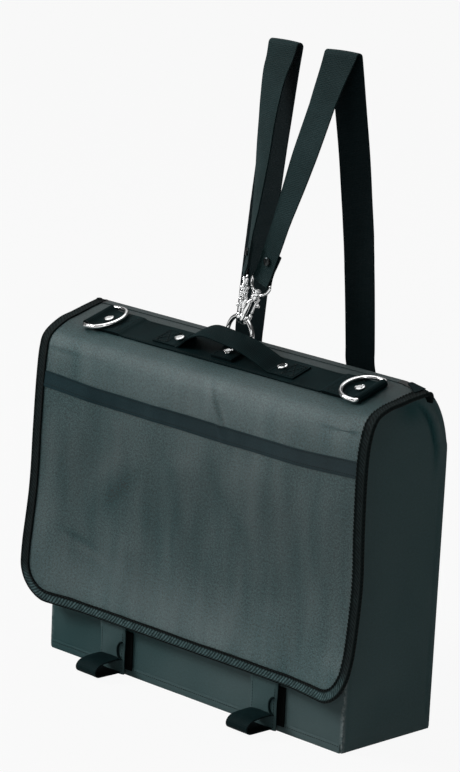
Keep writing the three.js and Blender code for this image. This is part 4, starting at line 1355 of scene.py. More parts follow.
def make_gate(name, place):
    """The gate's sprung blade, its pin and its lever with a ball end."""
    x = -HOOK_BEND
    blade_points = [Vector((x, 0, z * MM)) for z in np.linspace(3.6, 18.6, 20)]
    blade = rod("blade", blade_points, 1.25 * MM, shares=round_ends(blade_points))
    half = 0.7 * MM
    rib = block("rib", (x - half, -1.15 * MM, 4.6 * MM), (x + half, 1.15 * MM, 18.4 * MM), 0.4 * MM)
    pin_points = [Vector((x, y * MM, 18.2 * MM)) for y in np.linspace(-2.6, 2.6, 12)]
    pin = rod("pin", pin_points, 0.75 * MM, shares=round_ends(pin_points))
    lever_points = [
        Vector((x - d * MM, 0, (12.05 + 0.02 * d * d) * MM)) for d in np.linspace(0, 6, 10)
    ]
    lever = rod("lever", lever_points, 0.95 * MM)
    knob = ball("knob", 2.2 * MM, (x - 6 * MM, 0, 12.4 * MM))
    gate = join(f"snap_gate_{name}", [blade, rib, pin, lever, knob])
    finish_metal(gate, place, 45, f"gate_{name}", f"hook_gate_{name}")


def make_eye(name, place):
    """The swivel eye: a boss on the stem, and a bowed loop whose bar carries the webbing."""
    boss = post("boss", 5 * MM, 27 * MM, 30.6 * MM, 0.8 * MM)
    arm = Line([metres(spot) for spot in EYE_ARM], samples=8)
    half = [Vector((x, 0, z)) for x, z in arm.points]
    loop = rod("loop", half + [Vector((-p.x, 0, p.z)) for p in reversed(half[:-1])], EYE_ROD / 2)
    eye = join(f"swivel_eye_{name}", [boss, loop])
    finish_metal(eye, place, 45, "flap_top", f"hook_eye_{name}")


# Shoulder straps


def eye_bar(settings, eye):
    """The middle of an eye's bar, the way along it and the front of the strap's fold at the top."""
    bar = eye @ Vector((0, 0, EYE_BAR))
    across = (eye.to_3x3() @ Vector((1, 0, 0))).normalized()
    return bar, across, (settings["top"] * MM, STRAP_TOP_Y - FOLD_RADIUS, STRAP_TOP_Z - FOLD_RADIUS)


def strap_stations(settings, eye):
    """A strap's stations from its tail at the eye to its foot: place, the width's way, the width."""
    bar, across, top = (np.array(part) for part in eye_bar(settings, eye))
    run = top - bar
    length = np.linalg.norm(run)
    up = run / length
    out = np.cross(across, up)
    out /= np.linalg.norm(out)
    turn = EYE_ROD / 2 + GAP + WEBBING / 2
    pair = LAYER / 2
    stations = []
    for rise, aside, wider in ((34, 1, 4), (25, 1, 2.5), (15, 1, 0), (8, 1.3, 0)):
        spot = bar + up * rise * MM - out * pair * aside
        stations.append((spot, across, EYE_WIDTH + wider * MM))
    for i in range(9):
        angle = math.pi + math.pi * i / 8
        spot = bar + up * turn * math.sin(angle) + out * turn * math.cos(angle)
        stations.append((spot, across, EYE_WIDTH))
    for rise, aside in ((8, 1.3), (15, 1), (25, 1), (34, 1)):
        stations.append((bar + up * rise * MM + out * pair * aside, across, EYE_WIDTH))
    for i in range(1, 17):
        share = i / 16
        rise = lerp(34 * MM, length, share)
        angle = math.radians(float(np.interp(share, *zip(*settings["turns"]))))
        way = np.array([math.cos(angle), math.sin(angle), 0])
        near = float(eased(share / 0.15))
        way = across * (1 - near) + way * near
        width = lerp(EYE_WIDTH, STRAP_WIDTH, float(eased(share / 0.55)))
        bow = out * settings["slack"] * MM * float(hump(share, 0.74, 0.3) * eased((1 - share) / 0.16))
        spot = bar + up * rise + out * pair * (1 - share) + bow
        stations.append((spot, way / np.linalg.norm(way), width))
    for i in range(1, 9):
        angle = math.pi * (1 - i / 8)
        y = STRAP_TOP_Y + FOLD_RADIUS * math.cos(angle)
        spot = np.array([top[0], y, top[2] + FOLD_RADIUS * math.sin(angle)])
        stations.append((spot, way, STRAP_WIDTH))
    return stations + rear_stations(settings, stations[-1][0], way)


def lower_run(settings):
    """The straight run on the rear wall: its foot, its head, the way up it and the way across it."""
    foot = np.array([settings["outer"] * ANCHOR_X, 0, ANCHOR_Z])
    head = np.array([settings["waist"] * MM, 0, WAIST_Z])
    up = (head - foot) / np.linalg.norm(head - foot)
    return foot, head, up, np.array([up[2], 0, -up[0]])


def run_x(foot, head, z):
    """How far across the straight run is at a height."""
    return lerp(foot[0], head[0], (z - ANCHOR_Z) / (WAIST_Z - ANCHOR_Z))


def rear_face(z):
    return BODY_REAR + REAR_LEAN * np.minimum(z, REAR_SHOULDER) / REAR_SHOULDER


def rear_stations(settings, top_rear, level):
    foot, head, up, across = lower_run(settings)
    rest_y = rear_face(REAR_SHOULDER) + LAYER
    share = (STRAP_TOP_Z - WAIST_Z) / (STRAP_TOP_Z - REAR_SHOULDER)
    waist = np.array([settings["waist"] * MM, lerp(top_rear[1], rest_y, share), WAIST_Z])
    stations = []
    for i in range(1, 21):
        way = level * (1 - i / 20) + across * (i / 20)
        bow = np.array([settings["rear_slack"] * MM * math.sin(math.pi * i / 20), 0, 0])
        stations.append((lerp(top_rear, waist, i / 20) + bow, way / np.linalg.norm(way), STRAP_WIDTH))
    for z, y in ((340 * MM, lerp(waist[1], rest_y, 0.5)), (REAR_SHOULDER + 20 * MM, rest_y)):
        stations.append((np.array([run_x(foot, head, z), y, z]), across, STRAP_WIDTH))

    def lie(z, clear, along=0.0):
        """Adds a station on the wall or clear of it, some way along from a height."""
        spot = np.array([run_x(foot, head, z), 0, z]) + up * along
        spot[1] = rear_face(spot[2]) + clear
        stations.append((spot, across, STRAP_WIDTH))

    for z in (REAR_SHOULDER, 240 * MM, 200 * MM):
        lie(z, LAYER)
    for along, clear in (
        (20, LAYER), (12, LAYER), (9, LAYER + 0.6 * MM), (5.2, OVER_BAR - 1.2 * MM), (3, OVER_BAR),
        (0, OVER_BAR + 0.2 * MM), (-3, OVER_BAR), (-5.2, OVER_BAR - 1.2 * MM), (-9, LAYER + 0.6 * MM),
        (-12, LAYER), (-20, LAYER),
    ):
        lie(SLIDER_Z, clear, along * MM)
    for z, clear in (
        (105 * MM, LAYER), (80 * MM, LAYER + 0.4 * MM), (70 * MM, ON_PATCH), (48 * MM, ON_PATCH),
        (ANCHOR_Z, ON_PATCH),
    ):
        lie(z, clear)
    return stations


def make_strap(name, settings, eye):
    stations = strap_stations(settings, eye)
    spots, ways, widths = (np.array(part) for part in zip(*stations))
    line = Line(spots, samples=8)
    seed = len(name)

    def place(u, v):
        way = drawn_along(ways, line.knots, v)
        width = np.interp(v, line.knots, widths)
        ahead = line(v + 0.8 * MM) - line(v - 0.8 * MM)
        normal = unit_rows(np.cross(way, ahead))
        free = eased((v - 60 * MM) / (60 * MM)) * eased((line.length - 420 * MM - v) / (80 * MM))
        cup = (1 - (2 * u / STRAP_WIDTH) ** 2) * 0.7 * MM
        wave = cut_noise(v, u * 0.3, 70 * MM, 41 + seed) * 0.8 * MM
        crease = cut_noise(v + u * 0.8, u * 0, 13 * MM, 43 + seed) * 0.7 * MM
        wave = wave + crease * hump(v, line.length - 430 * MM, 70 * MM)
        aside = u / STRAP_WIDTH * width
        return line(v) + way * aside[:, None] + normal * (free * (cup + wave))[:, None]

    strap = webbing_sheet(
        f"shoulder_strap_{name}", STRAP_WIDTH, line, place, 560, (0.15, (0, -1, 0)), across=12,
    )
    replaced = [f"strap_{part}_{name}" for part in ("front", "rear", "lower")]
    finish_piece(strap, STRAP_WEBBING, None, "webbing", *replaced)
    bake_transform(strap)


def make_strap_rivet(name, settings, eye):
    bar, across, top = eye_bar(settings, eye)
    up = (Vector(top) - bar).normalized()
    out = across.cross(up).normalized()
    turn = Matrix((across, up, out)).transposed().to_4x4()
    spot = Matrix.Translation(bar + up * 22 * MM + out * LAYER)
    cap = rivet_cap(f"cap_rivet_strap_{name}", 4 * MM, 1.7 * MM, 1.2 * LAYER)
    finish_metal(cap, spot @ turn, 50, "flap_top", f"rivet_strap_{name}", BURNISHED)


def make_slider(name, settings):
    """The adjuster: a stamped frame with two slots, rounded by a bevel."""
    foot, head, up, _ = lower_run(settings)
    slider = flat_cloth(f"adjuster_{name}", 3, 5, 3, 5)
    select_faces(slider, lambda middle, _: abs(middle.x) < 0.2 and int(middle.y) in (1, 3))
    bpy.ops.mesh.delete(type="FACE")
    leave_edit()
    shape(slider, lambda x, y: np.column_stack([
        [SLIDER_COLUMNS[int(round(value + 1.5))] * MM for value in x],
        np.zeros_like(x),
        [SLIDER_ROWS[int(round(value))] * MM for value in y],
    ]))
    thicken(slider, SLIDER_PLATE, offset=0)
    bevel = slider.modifiers.new("rounding", "BEVEL")
    bevel.width = 0.9 * MM
    bevel.segments = 3
    apply_modifiers(slider)
    outwards(slider)
    slant = math.atan2(up[0], up[2])
    y = rear_face(SLIDER_Z + 15 * MM) + LAYER + WEBBING / 2 + GAP + SLIDER_PLATE / 2
    spot = Matrix.Translation((run_x(foot, head, SLIDER_Z), y, SLIDER_Z))
    finish_metal(slider, spot @ Matrix.Rotation(slant, 4, "Y"), 40, "bag_body", f"strap_slider_{name}")


def make_anchor(name, settings):
    """The cloth patch on the rear wall, with its border seam and the sewn foot of the strap."""
    foot, head, up, across = lower_run(settings)
    x = run_x(foot, head, PATCH_FOOT_Z)
    half_x, half_z = PATCH_HALF_X, PATCH_HALF_Z
    patch = flat_cloth(f"anchor_cloth_{name}", 2 * half_x, 2 * half_z, 30, 22)

    def place(u, v):
        z = PATCH_MIDDLE_Z - half_z + v
        edge = np.maximum(np.abs(u) / half_x, np.abs(v - half_z) / half_z)
        rise = (2.0 - 1.1 * eased((edge - 0.86) / 0.14)) * MM
        rise += cut_noise(u, v, 18 * MM, 51) * 0.2 * MM
        return np.column_stack([x + u, rear_face(z) + GAP + rise, z])

    shape(patch, place)
    turn_towards(patch, (0.5, (0, 1, 0)))
    thicken(patch, 1.2 * MM)
    smooth(patch)
    finish_piece(patch, SIDE_CLOTH, "bag_body", "side_cloth", f"anchor_patch_{name}")
    rows = []
    out = np.tile([0.0, 1.0, 0.0], (10, 1))
    inset_x, inset_z = half_x - 4 * MM, half_z - 4 * MM
    corners = [(-inset_x, -inset_z), (inset_x, -inset_z), (inset_x, inset_z), (-inset_x, inset_z)]
    for (a, b), (c, d) in zip(corners, corners[1:] + corners[:1]):
        z = PATCH_MIDDLE_Z + np.linspace(b, d, 10)
        y = rear_face(z) + GAP + 2.1 * MM
        rows.append((np.column_stack([x + np.linspace(a, c, 10), y, z]), out))
    for (a, b), (c, d) in box_rows(-16 * MM, 16 * MM, 9 * MM):
        u, w = np.linspace(a, c, 10), np.linspace(b, d, 10) + 14 * MM
        spots = foot + np.outer(w, up) + np.outer(u, across)
        spots[:, 1] = rear_face(spots[:, 2]) + 4.25 * MM
        rows.append((spots, out))
    sew(f"anchor_stitches_{name}", rows, BLACK_THREAD, "bag_body", "side_cloth")


# The closures below the flap

FRONT_FRAME = Matrix.Translation(SHOULDER) @ Matrix.Rotation(-FRONT_LEAN, 4, "X")


def framed(matrix, points):
    """Points of a closure's frame in the bag's frame."""
    turn = np.array(matrix.to_3x3())
    return np.asarray(points) @ turn.T + np.array(matrix.translation)


def make_tab(name, sign, here, body):
    """The cloth tab below the flap, sewn to it at the top, with the stitching along its sides."""
    line = Line(np.array(TAB_LINE) * MM)
    tab = flat_cloth(f"tab_cloth_{name}", 2 * CLOSURE_HALF, line.length, 26, 44)

    def place(u, v):
        y, z = line(v).T
        side = np.abs(u) / CLOSURE_HALF
        roll = eased((side - 0.88) / 0.12) * 0.9 * MM
        belly = -(1 - side**2) * eased((-z - 4 * MM) / (20 * MM)) * 1.3 * MM
        wave = cut_noise(u, v, 22 * MM, 61 + sign) * 0.5 * MM
        across = u * (1 + 0.03 * np.sin(v / (9 * MM)))
        return framed(here, np.column_stack([across, y + roll + belly + wave, z]))

    shape(tab, place)
    turn_towards(tab, (0.5, (0, -1, 0)))
    thicken(tab, CLOSURE_CLOTH)
    # Painted light: the tab is made paler than its cloth
    paint(tab, "tone", np.full(len(tab.data.vertices), 0.4))
    smooth(tab)
    finish_piece(tab, SIDE_CLOTH, None, "cloth", f"closure_tab_{name}")
    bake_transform(tab)
    rows = []
    out = here.to_3x3() @ Vector((0, -1, 0))
    v = np.linspace(22 * MM, line.length - 2 * MM, 30)
    for u in (-CLOSURE_HALF + 3 * MM, CLOSURE_HALF - 3 * MM):
        row = place(np.full_like(v, u), v) + np.array(out) * 0.15 * MM
        rows.append((row, np.tile(out, (len(v), 1))))
    sew(f"tab_stitches_{name}", rows, BLACK_THREAD, body, "cloth", pitch=3 * MM, radius=0.25 * MM)


def make_closure(name, sign):
    """A tab with its two touch-fastener pieces, its pull and its keeper."""
    here = FRONT_FRAME @ Matrix.Translation((sign * CLOSURE_X, 0, -CLOSURE_DROP))
    body = f"closure_{name}"
    make_tab(name, sign, here, body)
    half = CLOSURE_HALF - 2 * MM
    back = CLOSURE_SHIFT + CLOSURE_CLOTH + 0.35 * MM
    low, high = (-half, back, 2 * MM - CLOSURE_LENGTH), (half, back + 1.8 * MM, -18 * MM)
    fastener = block(f"tab_felt_{name}", low, high, 0.6 * MM)
    place_with(fastener, here)
    smooth(fastener)
    finish_piece(fastener, FELT, body, "webbing", f"tab_fastener_{name}")
    # Painted shadow: the dark pad reaches 6 mm past the tab's right edge, standing for the shade in the
    # gap beside the tab as well as for the pad
    low = (sign * CLOSURE_X - CLOSURE_HALF, -67.3 * MM, 7 * MM)
    high = (sign * CLOSURE_X + CLOSURE_HALF + 6 * MM, -65.3 * MM, 49 * MM)
    pad = block(f"pad_felt_{name}", low, high, 0.7 * MM)
    smooth(pad)
    finish_piece(pad, FELT, "bag_body", "webbing", f"closure_pad_{name}")
    make_grip(name, here, body)
    make_keeper(name, here, body)


def make_grip(name, here, body):
    """The webbing loop that pulls the tab open: out from the tab, round its nose and back below."""
    foot = -CLOSURE_LENGTH + 1.7 * MM
    line = Line(np.array(GRIP_LINE) * MM, samples=10)

    def place(u, v):
        y, h = line(v).T
        twist = (y / (30 * MM)) * (u / GRIP_HALF) * 0.6 * MM
        bow = (1 - (u / GRIP_HALF) ** 2) * np.clip(h / (14 * MM), 0, 1) * 0.9 * MM
        wave = cut_noise(v, u, 18 * MM, 71 + len(name)) * 0.35 * MM
        return framed(here, np.column_stack([u, y, foot + h + bow + twist * 0.4 + np.abs(wave)]))

    grip = webbing_sheet(f"grip_{name}", 2 * GRIP_HALF, line, place, 70, (0.15, (0, 0, 1)), across=14)
    finish_piece(grip, DARK_WEBBING, body, "webbing", f"grip_loop_{name}")


def make_keeper(name, here, body):
    """The cord keeper that bows out at the tab's right edge."""
    points = []
    for angle in np.linspace(0, math.pi, 22):
        drop = 18 * MM + 9.5 * MM * (1 - math.cos(angle))
        points.append(Vector((17.2 * MM - 7 * MM * math.sin(angle), 3.4 * MM, -drop)))
    keeper = rod(f"keeper_cord_{name}", points, 1.25 * MM, shares=round_ends(points))
    place_with(keeper, here)
    smooth(keeper, angle=60)
    finish_piece(keeper, DARK_WEBBING, body, "webbing", f"keeper_{name}")


# Materials

WEAVE_PITCH = 1.1 * MM
TWILL_PITCH = 2.6 * MM
RIB_SCALE = 0.314159 / (3.3 * MM)
RIB_SLANT = 52
TONE_REACH = 0.05
DEEPEST_CLOTH = (0.002, 0.004, 0.004)
TAPE_EDGE = (0.0025, 0.006, 0.006)


def feed(tree, socket, value):
    """Links a socket to another node's output, or sets it to a number or a colour."""
    if isinstance(value, bpy.types.NodeSocket):
        tree.links.new(value, socket)
    elif isinstance(value, tuple):
        socket.default_value = (*value, 1)
    elif value is not None:
        socket.default_value = value


def add_node(tree, kind, inputs=None):
    """Adds a shader node and feeds its inputs, by name or number."""
    node = tree.nodes.new("ShaderNode" + kind)
    for name, value in (inputs or {}).items():
        feed(tree, node.inputs[name], value)
    return node


def new_material(name):
    """A material whose tree holds only a shader and its output."""
    material = bpy.data.materials.new(name)
    material.use_nodes = True
    tree = material.node_tree
    tree.nodes.clear()
    shader = add_node(tree, "BsdfPrincipled")
    add_node(tree, "OutputMaterial", {0: shader.outputs[0]})
    return material, tree, shader


def dress(tree, shader, colour, rough, relief=None, shine=None, metal=None):
    """Feeds a shader; relief is a height with its strength and its depth."""
    inputs = {"Base Color": colour, "Roughness": rough, "Specular IOR Level": shine, "Metallic": metal}
    for name, value in inputs.items():
        feed(tree, shader.inputs[name], value)
    if relief:
        height, strength, depth = relief
        bump = add_node(tree, "Bump", {"Strength": strength, "Distance": depth, "Height": height})
        tree.links.new(bump.outputs[0], shader.inputs["Normal"])


def maths(tree, kind, *values):
    """A Math node's result, from numbers or other nodes' outputs."""
    node = add_node(tree, "Math")
    node.operation = kind
    for socket, value in zip(node.inputs, values):
        feed(tree, socket, value)
    return node.outputs[0]


def mixed(tree, kind, factor, first, second):
    node = add_node(tree, "Mix")
    node.data_type = "RGBA"
    node.blend_type = kind
    for number, value in ((0, factor), (6, first), (7, second)):
        feed(tree, node.inputs[number], value)
    return node.outputs[2]


def times(tree, first, second):
    """One colour multiplied by another."""
    return mixed(tree, "MULTIPLY", 1.0, first, second)


def noise_node(tree, vector, scale, detail, roughness=0.5):
    inputs = {"Vector": vector, "Scale": scale, "Detail": detail, "Roughness": roughness}
    return add_node(tree, "TexNoise", inputs).outputs[0]


def axes_of(tree, vector):
    """A vector's x, y and z."""
    return add_node(tree, "SeparateXYZ", {0: vector}).outputs


def coordinates(tree, source):
    return add_node(tree, "TexCoord").outputs[source]


def painted(tree, name):
    """The numbers that paint() stored under a name."""
    node = add_node(tree, "Attribute")
    node.attribute_name = name
    return node.outputs["Fac"]


def turned_vector(tree, vector, angle, scale=(1, 1, 1)):
    node = add_node(tree, "Mapping", {"Vector": vector})
    node.inputs["Rotation"].default_value = (0, 0, math.radians(angle))
    node.inputs["Scale"].default_value = scale
    return node.outputs[0]


def opaque(colour):
    """A colour with its alpha, from three numbers or from one number for a grey."""
    return (*colour, 1) if isinstance(colour, tuple) else (colour, colour, colour, 1)


def ramp(tree, source, stops):
    """A ramp through stops, each a position with a colour or a grey."""
    node = add_node(tree, "ValToRGB", {0: source})
    steps = node.color_ramp.elements
    for step, (position, colour) in zip(list(steps), (stops[0], stops[-1])):
        step.position = position
        step.color = opaque(colour)
    for position, colour in stops[1:-1]:
        steps.new(position).color = opaque(colour)
    return node.outputs[0]


def threads_group():
    """Crossed threads of uneven thickness: a height, and a tone with fine specks."""
    group = bpy.data.node_groups.new("Woven threads", "ShaderNodeTree")
    face = group.interface
    face.new_socket("Vector", in_out="INPUT", socket_type="NodeSocketVector")
    for name in ("Warp pitch", "Weft pitch", "Unevenness"):
        face.new_socket(name, in_out="INPUT", socket_type="NodeSocketFloat")
    for name in ("Height", "Specks"):
        face.new_socket(name, in_out="OUTPUT", socket_type="NodeSocketFloat")
    given = group.nodes.new("NodeGroupInput").outputs
    end = group.nodes.new("NodeGroupOutput")
    vector = given["Vector"]
    axes = axes_of(group, vector)
    slub = noise_node(group, vector, 260, 2)
    waves = []
    for axis, pitch in ((0, "Warp pitch"), (1, "Weft pitch")):
        turns = maths(group, "DIVIDE", axes[axis], given[pitch])
        angle = maths(group, "MULTIPLY", turns, math.tau)
        pushed = maths(group, "MULTIPLY_ADD", slub, given["Unevenness"], angle)
        waves.append(maths(group, "SINE", pushed))
    height = maths(group, "MULTIPLY_ADD", maths(group, "MULTIPLY", *waves), 0.5, 0.5)
    coarse = maths(group, "MULTIPLY", noise_node(group, vector, 400, 3, 0.7), 0.5)
    specks = maths(group, "MULTIPLY_ADD", noise_node(group, vector, 760, 2, 0.7), 0.5, coarse)
    group.links.new(height, end.inputs["Height"])
    group.links.new(specks, end.inputs["Specks"])
    return group


def woven(tree, vector, warp, weft, unevenness):
    """The threads group with its values: its height and its specks."""
    node = add_node(tree, "Group")
    node.node_tree = THREADS
    names = ("Vector", "Warp pitch", "Weft pitch", "Unevenness")
    for name, value in zip(names, (vector, warp, weft, unevenness)):
        feed(tree, node.inputs[name], value)
    return node.outputs["Height"], node.outputs["Specks"]


def coated_cloth(name, dark, light, shine, specks, rough=0.5, worn=None, painted_light_stops=None):
    """Coated woven nylon: a fine weave with specks, a soft gloss and slow changes of tone.

    Worn is the colour that shows where the edges are scuffed. Painted light stops is a list of (share
    of the cut's length, tone) that paints shade and highlights along the cut.
    """
    material, tree, shader = new_material(name)
    cut = coordinates(tree, "UV")
    place = coordinates(tree, "Object")
    weave, speckle = woven(tree, cut, WEAVE_PITCH, WEAVE_PITCH, 1.2)
    hung = noise_node(tree, turned_vector(tree, cut, 0, (1, 0.25, 1)), 34, 3, 0.55)
    hung = maths(tree, "MULTIPLY", hung, 0.4)
    slow = maths(tree, "MULTIPLY_ADD", noise_node(tree, place, 8, 2), 0.6, hung)
    colour = ramp(tree, slow, [(0.36, dark), (0.66, light)])
    colour = times(tree, colour, ramp(tree, speckle, [(0.4, 1 - specks), (0.6, 1 + specks)]))
    tone = maths(tree, "MULTIPLY", painted(tree, "tone"), TONE_REACH)
    colour = mixed(tree, "ADD", 1.0, colour, tone)
    colour = mixed(tree, "LIGHTEN", 1.0, colour, DEEPEST_CLOTH)
    # Painted light: paler and darker bands along the cut's length
    if painted_light_stops:
        share = maths(tree, "DIVIDE", axes_of(tree, cut)[1], FLAP_LENGTH)
        uneven = maths(tree, "MULTIPLY_ADD", noise_node(tree, place, 14, 2), 0.12, share)
        colour = times(tree, colour, ramp(tree, uneven, painted_light_stops))
    if worn:
        scuffs = ramp(tree, noise_node(tree, place, 240, 4, 0.7), [(0.4, 0), (0.62, 1)])
        edge = maths(tree, "MULTIPLY", painted(tree, "wear"), scuffs)
        colour = mixed(tree, "MIX", edge, colour, worn)
    gloss = maths(tree, "MULTIPLY_ADD", noise_node(tree, place, 30, 3), 0.16, rough - 0.08)
    gloss = maths(tree, "MULTIPLY_ADD", speckle, 0.12, gloss)
    relief = maths(tree, "MULTIPLY_ADD", speckle, 0.8, weave)
    dress(tree, shader, colour, gloss, (relief, 0.4, 0.4 * MM), shine)
    return material


def webbing_finish(name, dark, light, inside, shine=0.1):
    """Twill webbing: slanting dots that follow the strap, and a flatter, darker inner side that is
    painted shade.
    """
    material, tree, shader = new_material(name)
    cut = coordinates(tree, "UV")
    twill, _ = woven(tree, turned_vector(tree, cut, 45), TWILL_PITCH, TWILL_PITCH, 0.7)
    fine, _ = woven(tree, cut, 0.9 * MM, 1.3 * MM, 0.8)
    slow = noise_node(tree, coordinates(tree, "Object"), 24, 3)
    colour = ramp(tree, slow, [(0.32, dark), (0.7, light)])
    colour = times(tree, colour, ramp(tree, twill, [(0.25, 0.55), (0.8, 1.35)]))
    # Painted shade: the inner side takes the darker inside colour
    colour = mixed(tree, "MIX", painted(tree, "inner"), colour, inside)
    relief = maths(tree, "MULTIPLY_ADD", fine, 0.35, twill)
    dress(tree, shader, colour, 0.6, (relief, 0.6, 0.6 * MM), shine)
    return material


def ribbed_tape(name):
    """Binding tape: black edges and slanting grey ribs between them."""
    material, tree, shader = new_material(name)
    cut = coordinates(tree, "UV")
    slanted = turned_vector(tree, cut, RIB_SLANT)
    waves = {"Vector": slanted, "Scale": RIB_SCALE, "Distortion": 2.2, "Detail": 3}
    ribs = add_node(tree, "TexWave", waves)
    ribs.bands_direction = "X"
    rib = ribs.outputs[1]
    grain = noise_node(tree, cut, 700, 2)
    base = ramp(tree, grain, [(0.3, (0.012, 0.026, 0.027)), (0.7, (0.036, 0.058, 0.06))])
    colour = times(tree, base, ramp(tree, rib, [(0.3, 0.42), (0.85, 1.1)]))
    uneven = ramp(tree, noise_node(tree, cut, 130, 3), [(0.36, 0.68), (0.62, 1.15)])
    colour = times(tree, colour, uneven)
    colour = times(tree, colour, maths(tree, "ADD", painted(tree, "tone"), 1.0))
    away = maths(tree, "ABSOLUTE", maths(tree, "SUBTRACT", axes_of(tree, cut)[0], 5.6 * MM))
    edge = ramp(tree, maths(tree, "DIVIDE", away, 10 * MM), [(0.26, 0), (0.44, 1)])
    colour = mixed(tree, "MIX", edge, colour, TAPE_EDGE)
    dress(tree, shader, colour, 0.6, (rib, 0.8, 0.7 * MM), 0.06)
    return material


def sewing_thread(name, colour):
    material, tree, shader = new_material(name)
    grain = noise_node(tree, coordinates(tree, "Object"), 1500, 2)
    dark, light = (tuple(part * share for part in colour) for share in (0.6, 1.3))
    tone = ramp(tree, grain, [(0.3, dark), (0.7, light)])
    dress(tree, shader, tone, 0.6, (grain, 0.3, 0.2 * MM), 0.12)
    return material


def felt(name, dark, light):
    """The looped pile of a touch fastener."""
    material, tree, shader = new_material(name)
    pile = noise_node(tree, coordinates(tree, "Object"), 1100, 3, 0.7)
    tone = ramp(tree, pile, [(0.3, dark), (0.7, light)])
    dress(tree, shader, tone, 0.95, (pile, 0.9, 0.8 * MM), 0.05)
    return material


def nickel(name):
    """Polished nickel with fine wear."""
    material, tree, shader = new_material(name)
    place = coordinates(tree, "Object")
    wear = noise_node(tree, place, 160, 6, 0.65)
    colour = ramp(tree, wear, [(0.3, (0.84, 0.85, 0.85)), (0.7, (0.95, 0.96, 0.96))])
    rough = maths(tree, "MULTIPLY_ADD", wear, 0.16, 0.04)
    dress(tree, shader, colour, rough, (noise_node(tree, place, 420, 3), 0.05, 0.2 * MM), metal=1)
    return material


def burnished(name):
    """Blackened steel with brighter wear."""
    material, tree, shader = new_material(name)
    wear = noise_node(tree, coordinates(tree, "Object"), 300, 5, 0.6)
    colour = ramp(tree, wear, [(0.4, (0.02, 0.024, 0.025)), (0.75, (0.09, 0.1, 0.1))])
    rough = maths(tree, "MULTIPLY_ADD", wear, 0.3, 0.15)
    dress(tree, shader, colour, rough, (wear, 0.05, 0.2 * MM), metal=1)
    return material


def fibre_board(name):
    """Dark pressed board."""
    material, tree, shader = new_material(name)
    stretched = turned_vector(tree, coordinates(tree, "Object"), 0, (1, 6, 6))
    fibres = noise_node(tree, stretched, 160, 5, 0.6)
    colour = ramp(tree, fibres, [(0.3, (0.018, 0.017, 0.015)), (0.7, (0.034, 0.032, 0.029))])
    dress(tree, shader, colour, 0.85, (fibres, 0.4, 0.3 * MM))
    return material


# Floor and light

WORLD_LEVEL = 0.2
FLOOR_WHITE = 0.93
# The dim end of the floor's painted reflection
FLOOR_DIM = 0.22
WHITE = (1, 1, 1)
LIGHTS = [
    ("key", (-2.3, -1.9, 2.0), 1.2, 84),
    ("fill", (1.6, -2.6, 0.9), 0.7, 5),
    ("rim", (-1.7, 1.5, 1.9), 1.8, 5),
]
LIT_PLACE = Vector((0, 0, 0.25))


def mixed_shader(tree, factor, first, second):
    """Two shaders mixed by a factor."""
    inputs = {0: factor, 1: first.outputs[0], 2: second.outputs[0]}
    return add_node(tree, "MixShader", inputs).outputs[0]


def pale_floor():
    """A pale finish that the camera sees as nearly white, with the shadow kept; glossy rays see it glow
    as a painted reflection, bright on the camera's side of the bag and dim behind it.
    """
    material, tree, shader = new_material("pale floor")
    dress(tree, shader, (0.4, 0.4, 0.4), 0.9)
    rays = add_node(tree, "LightPath").outputs
    # Painted reflection: the glow that glossy rays see rises from FLOOR_DIM behind the bag to full in
    # front of it on the camera's side
    axes = axes_of(tree, coordinates(tree, "Object"))
    before = maths(tree, "SUBTRACT", axes[0], axes[1])
    shade = maths(tree, "MULTIPLY_ADD", before, 0.28, 0.14)
    level = ramp(tree, shade, [(0.06, FLOOR_DIM), (0.44, 1)])
    mirrored = maths(tree, "MULTIPLY", rays["Is Glossy Ray"], level)
    seen = maths(tree, "MULTIPLY_ADD", rays["Is Camera Ray"], FLOOR_WHITE, mirrored)
    glow = add_node(tree, "Emission", {"Color": WHITE})
    out = next(node for node in tree.nodes if node.type == "OUTPUT_MATERIAL")
    tree.links.new(mixed_shader(tree, seen, shader, glow), out.inputs[0])
    return material


def make_stage():
    deselect()
    bpy.ops.mesh.primitive_plane_add(size=12, location=(0, 0, 0))
    floor = named("floor")
    floor.data.materials.append(pale_floor())
    world = bpy.data.worlds.new("studio")
    bpy.context.scene.world = world
    world.use_nodes = True
    tree = world.node_tree
    tree.nodes.clear()
    height = axes_of(tree, coordinates(tree, "Generated"))[2]
    rays = add_node(tree, "LightPath").outputs
    # Painted reflection: glossy rays see a bright glow overhead and a dark horizon, which diffuse rays
    # don't
    overhead = ramp(tree, height, [(0.1, 0.04), (0.5, 0.1), (0.68, 0.2), (0.82, 1.8)])
    level = mixed(tree, "MIX", rays["Is Glossy Ray"], (WORLD_LEVEL,) * 3, overhead)
    soft = add_node(tree, "Background", {"Color": level})
    white = add_node(tree, "Background", {"Color": WHITE})
    seen = mixed_shader(tree, rays["Is Camera Ray"], soft, white)
    add_node(tree, "OutputWorld", {0: seen})


def make_lights():
    for name, place, size, power in LIGHTS:
        data = bpy.data.lights.new(name, "AREA")
        data.shape = "RECTANGLE"
        data.size, data.size_y = size, size
        data.energy = power
        light = add_object(name, data)
        light.location = place
        light.rotation_euler = (LIT_PLACE - Vector(place)).to_track_quat("-Z", "Y").to_euler()


bpy.context.scene.view_settings.view_transform = "Standard"
make_camera()

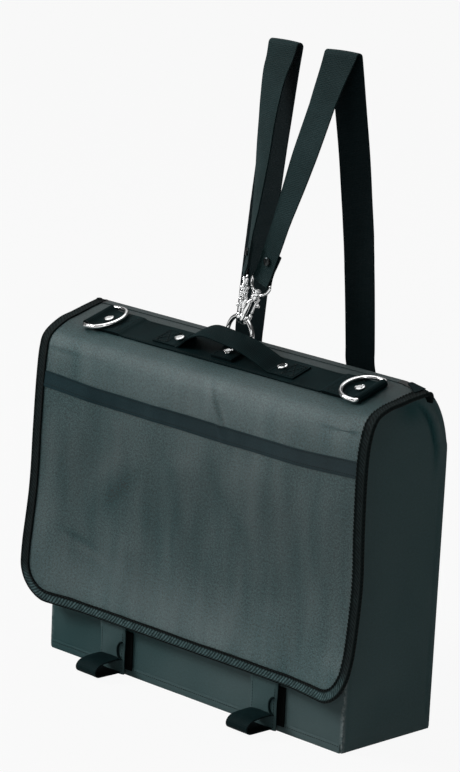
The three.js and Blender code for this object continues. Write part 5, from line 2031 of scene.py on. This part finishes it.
THREADS = threads_group()
FLAP_CLOTH = coated_cloth(
    "flap cloth", (0.020, 0.046, 0.048), (0.034, 0.063, 0.065), shine=0.45, specks=0.6, rough=0.42,
    # Painted shade on the top, painted highlights on the shoulder and towards the foot
    painted_light_stops=[
        (0.0, 0.45), (0.16, 0.6), (0.25, 1.15), (0.31, 1.6),
        (0.42, 1.25), (0.6, 1.05), (0.85, 1.3), (1.0, 1.65),
    ],
)
SIDE_CLOTH = coated_cloth(
    "side cloth", (0.021, 0.061, 0.064), (0.028, 0.071, 0.074), shine=0.18, specks=0.14,
    worn=(0.3, 0.34, 0.34),
)
BAND_CLOTH = coated_cloth(
    "band cloth", (0.004, 0.017, 0.021), (0.011, 0.031, 0.037), shine=0.08, specks=0.2,
)
# The inside colours are painted shade on the webbing's inner sides
STRAP_WEBBING = webbing_finish(
    "strap webbing", (0.007, 0.022, 0.023), (0.014, 0.034, 0.036), inside=(0.0008, 0.0065, 0.0078),
)
DARK_WEBBING = webbing_finish(
    "dark webbing", (0.0012, 0.0075, 0.0085), (0.0045, 0.016, 0.0175),
    inside=(0.0006, 0.0022, 0.0026), shine=0.05,
)
TAPE = ribbed_tape("ribbed tape")
BLACK_THREAD = sewing_thread("black thread", (0.0025, 0.004, 0.004))
GREY_THREAD = sewing_thread("grey thread", (0.009, 0.016, 0.017))
FELT = felt("fastener felt", (0.0015, 0.0025, 0.0025), (0.005, 0.007, 0.007))
NICKEL = nickel("polished nickel")
BURNISHED = burnished("burnished steel")
BOARD = fibre_board("pressed board")

make_body()
make_foot_bands()
make_back_seam()
make_seam_corner()
make_flap()
make_band()
make_tape()
make_tape_tails()
make_strip()
make_handle()
make_side_rings()
make_rivets()
make_centre_ring()
for strap_name, strap_settings in STRAPS.items():
    hang = hook_frame(strap_settings)
    hook_place = hang @ Matrix.Rotation(math.radians(90 + strap_settings["turn"]), 4, "Z")
    eye_place = hang @ Matrix.Rotation(math.radians(strap_settings["eye"]), 4, "Z")
    make_hook(strap_name, hook_place)
    make_gate(strap_name, hook_place)
    make_eye(strap_name, eye_place)
    make_strap(strap_name, strap_settings, eye_place)
    make_strap_rivet(strap_name, strap_settings, eye_place)
    make_slider(strap_name, strap_settings)
    make_anchor(strap_name, strap_settings)
for closure_name, closure_sign in (("left", -1), ("right", 1)):
    make_closure(closure_name, closure_sign)
base_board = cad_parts["base_board"]
base_board.data.materials.clear()
base_board.data.materials.append(BOARD)

make_stage()
make_lights()
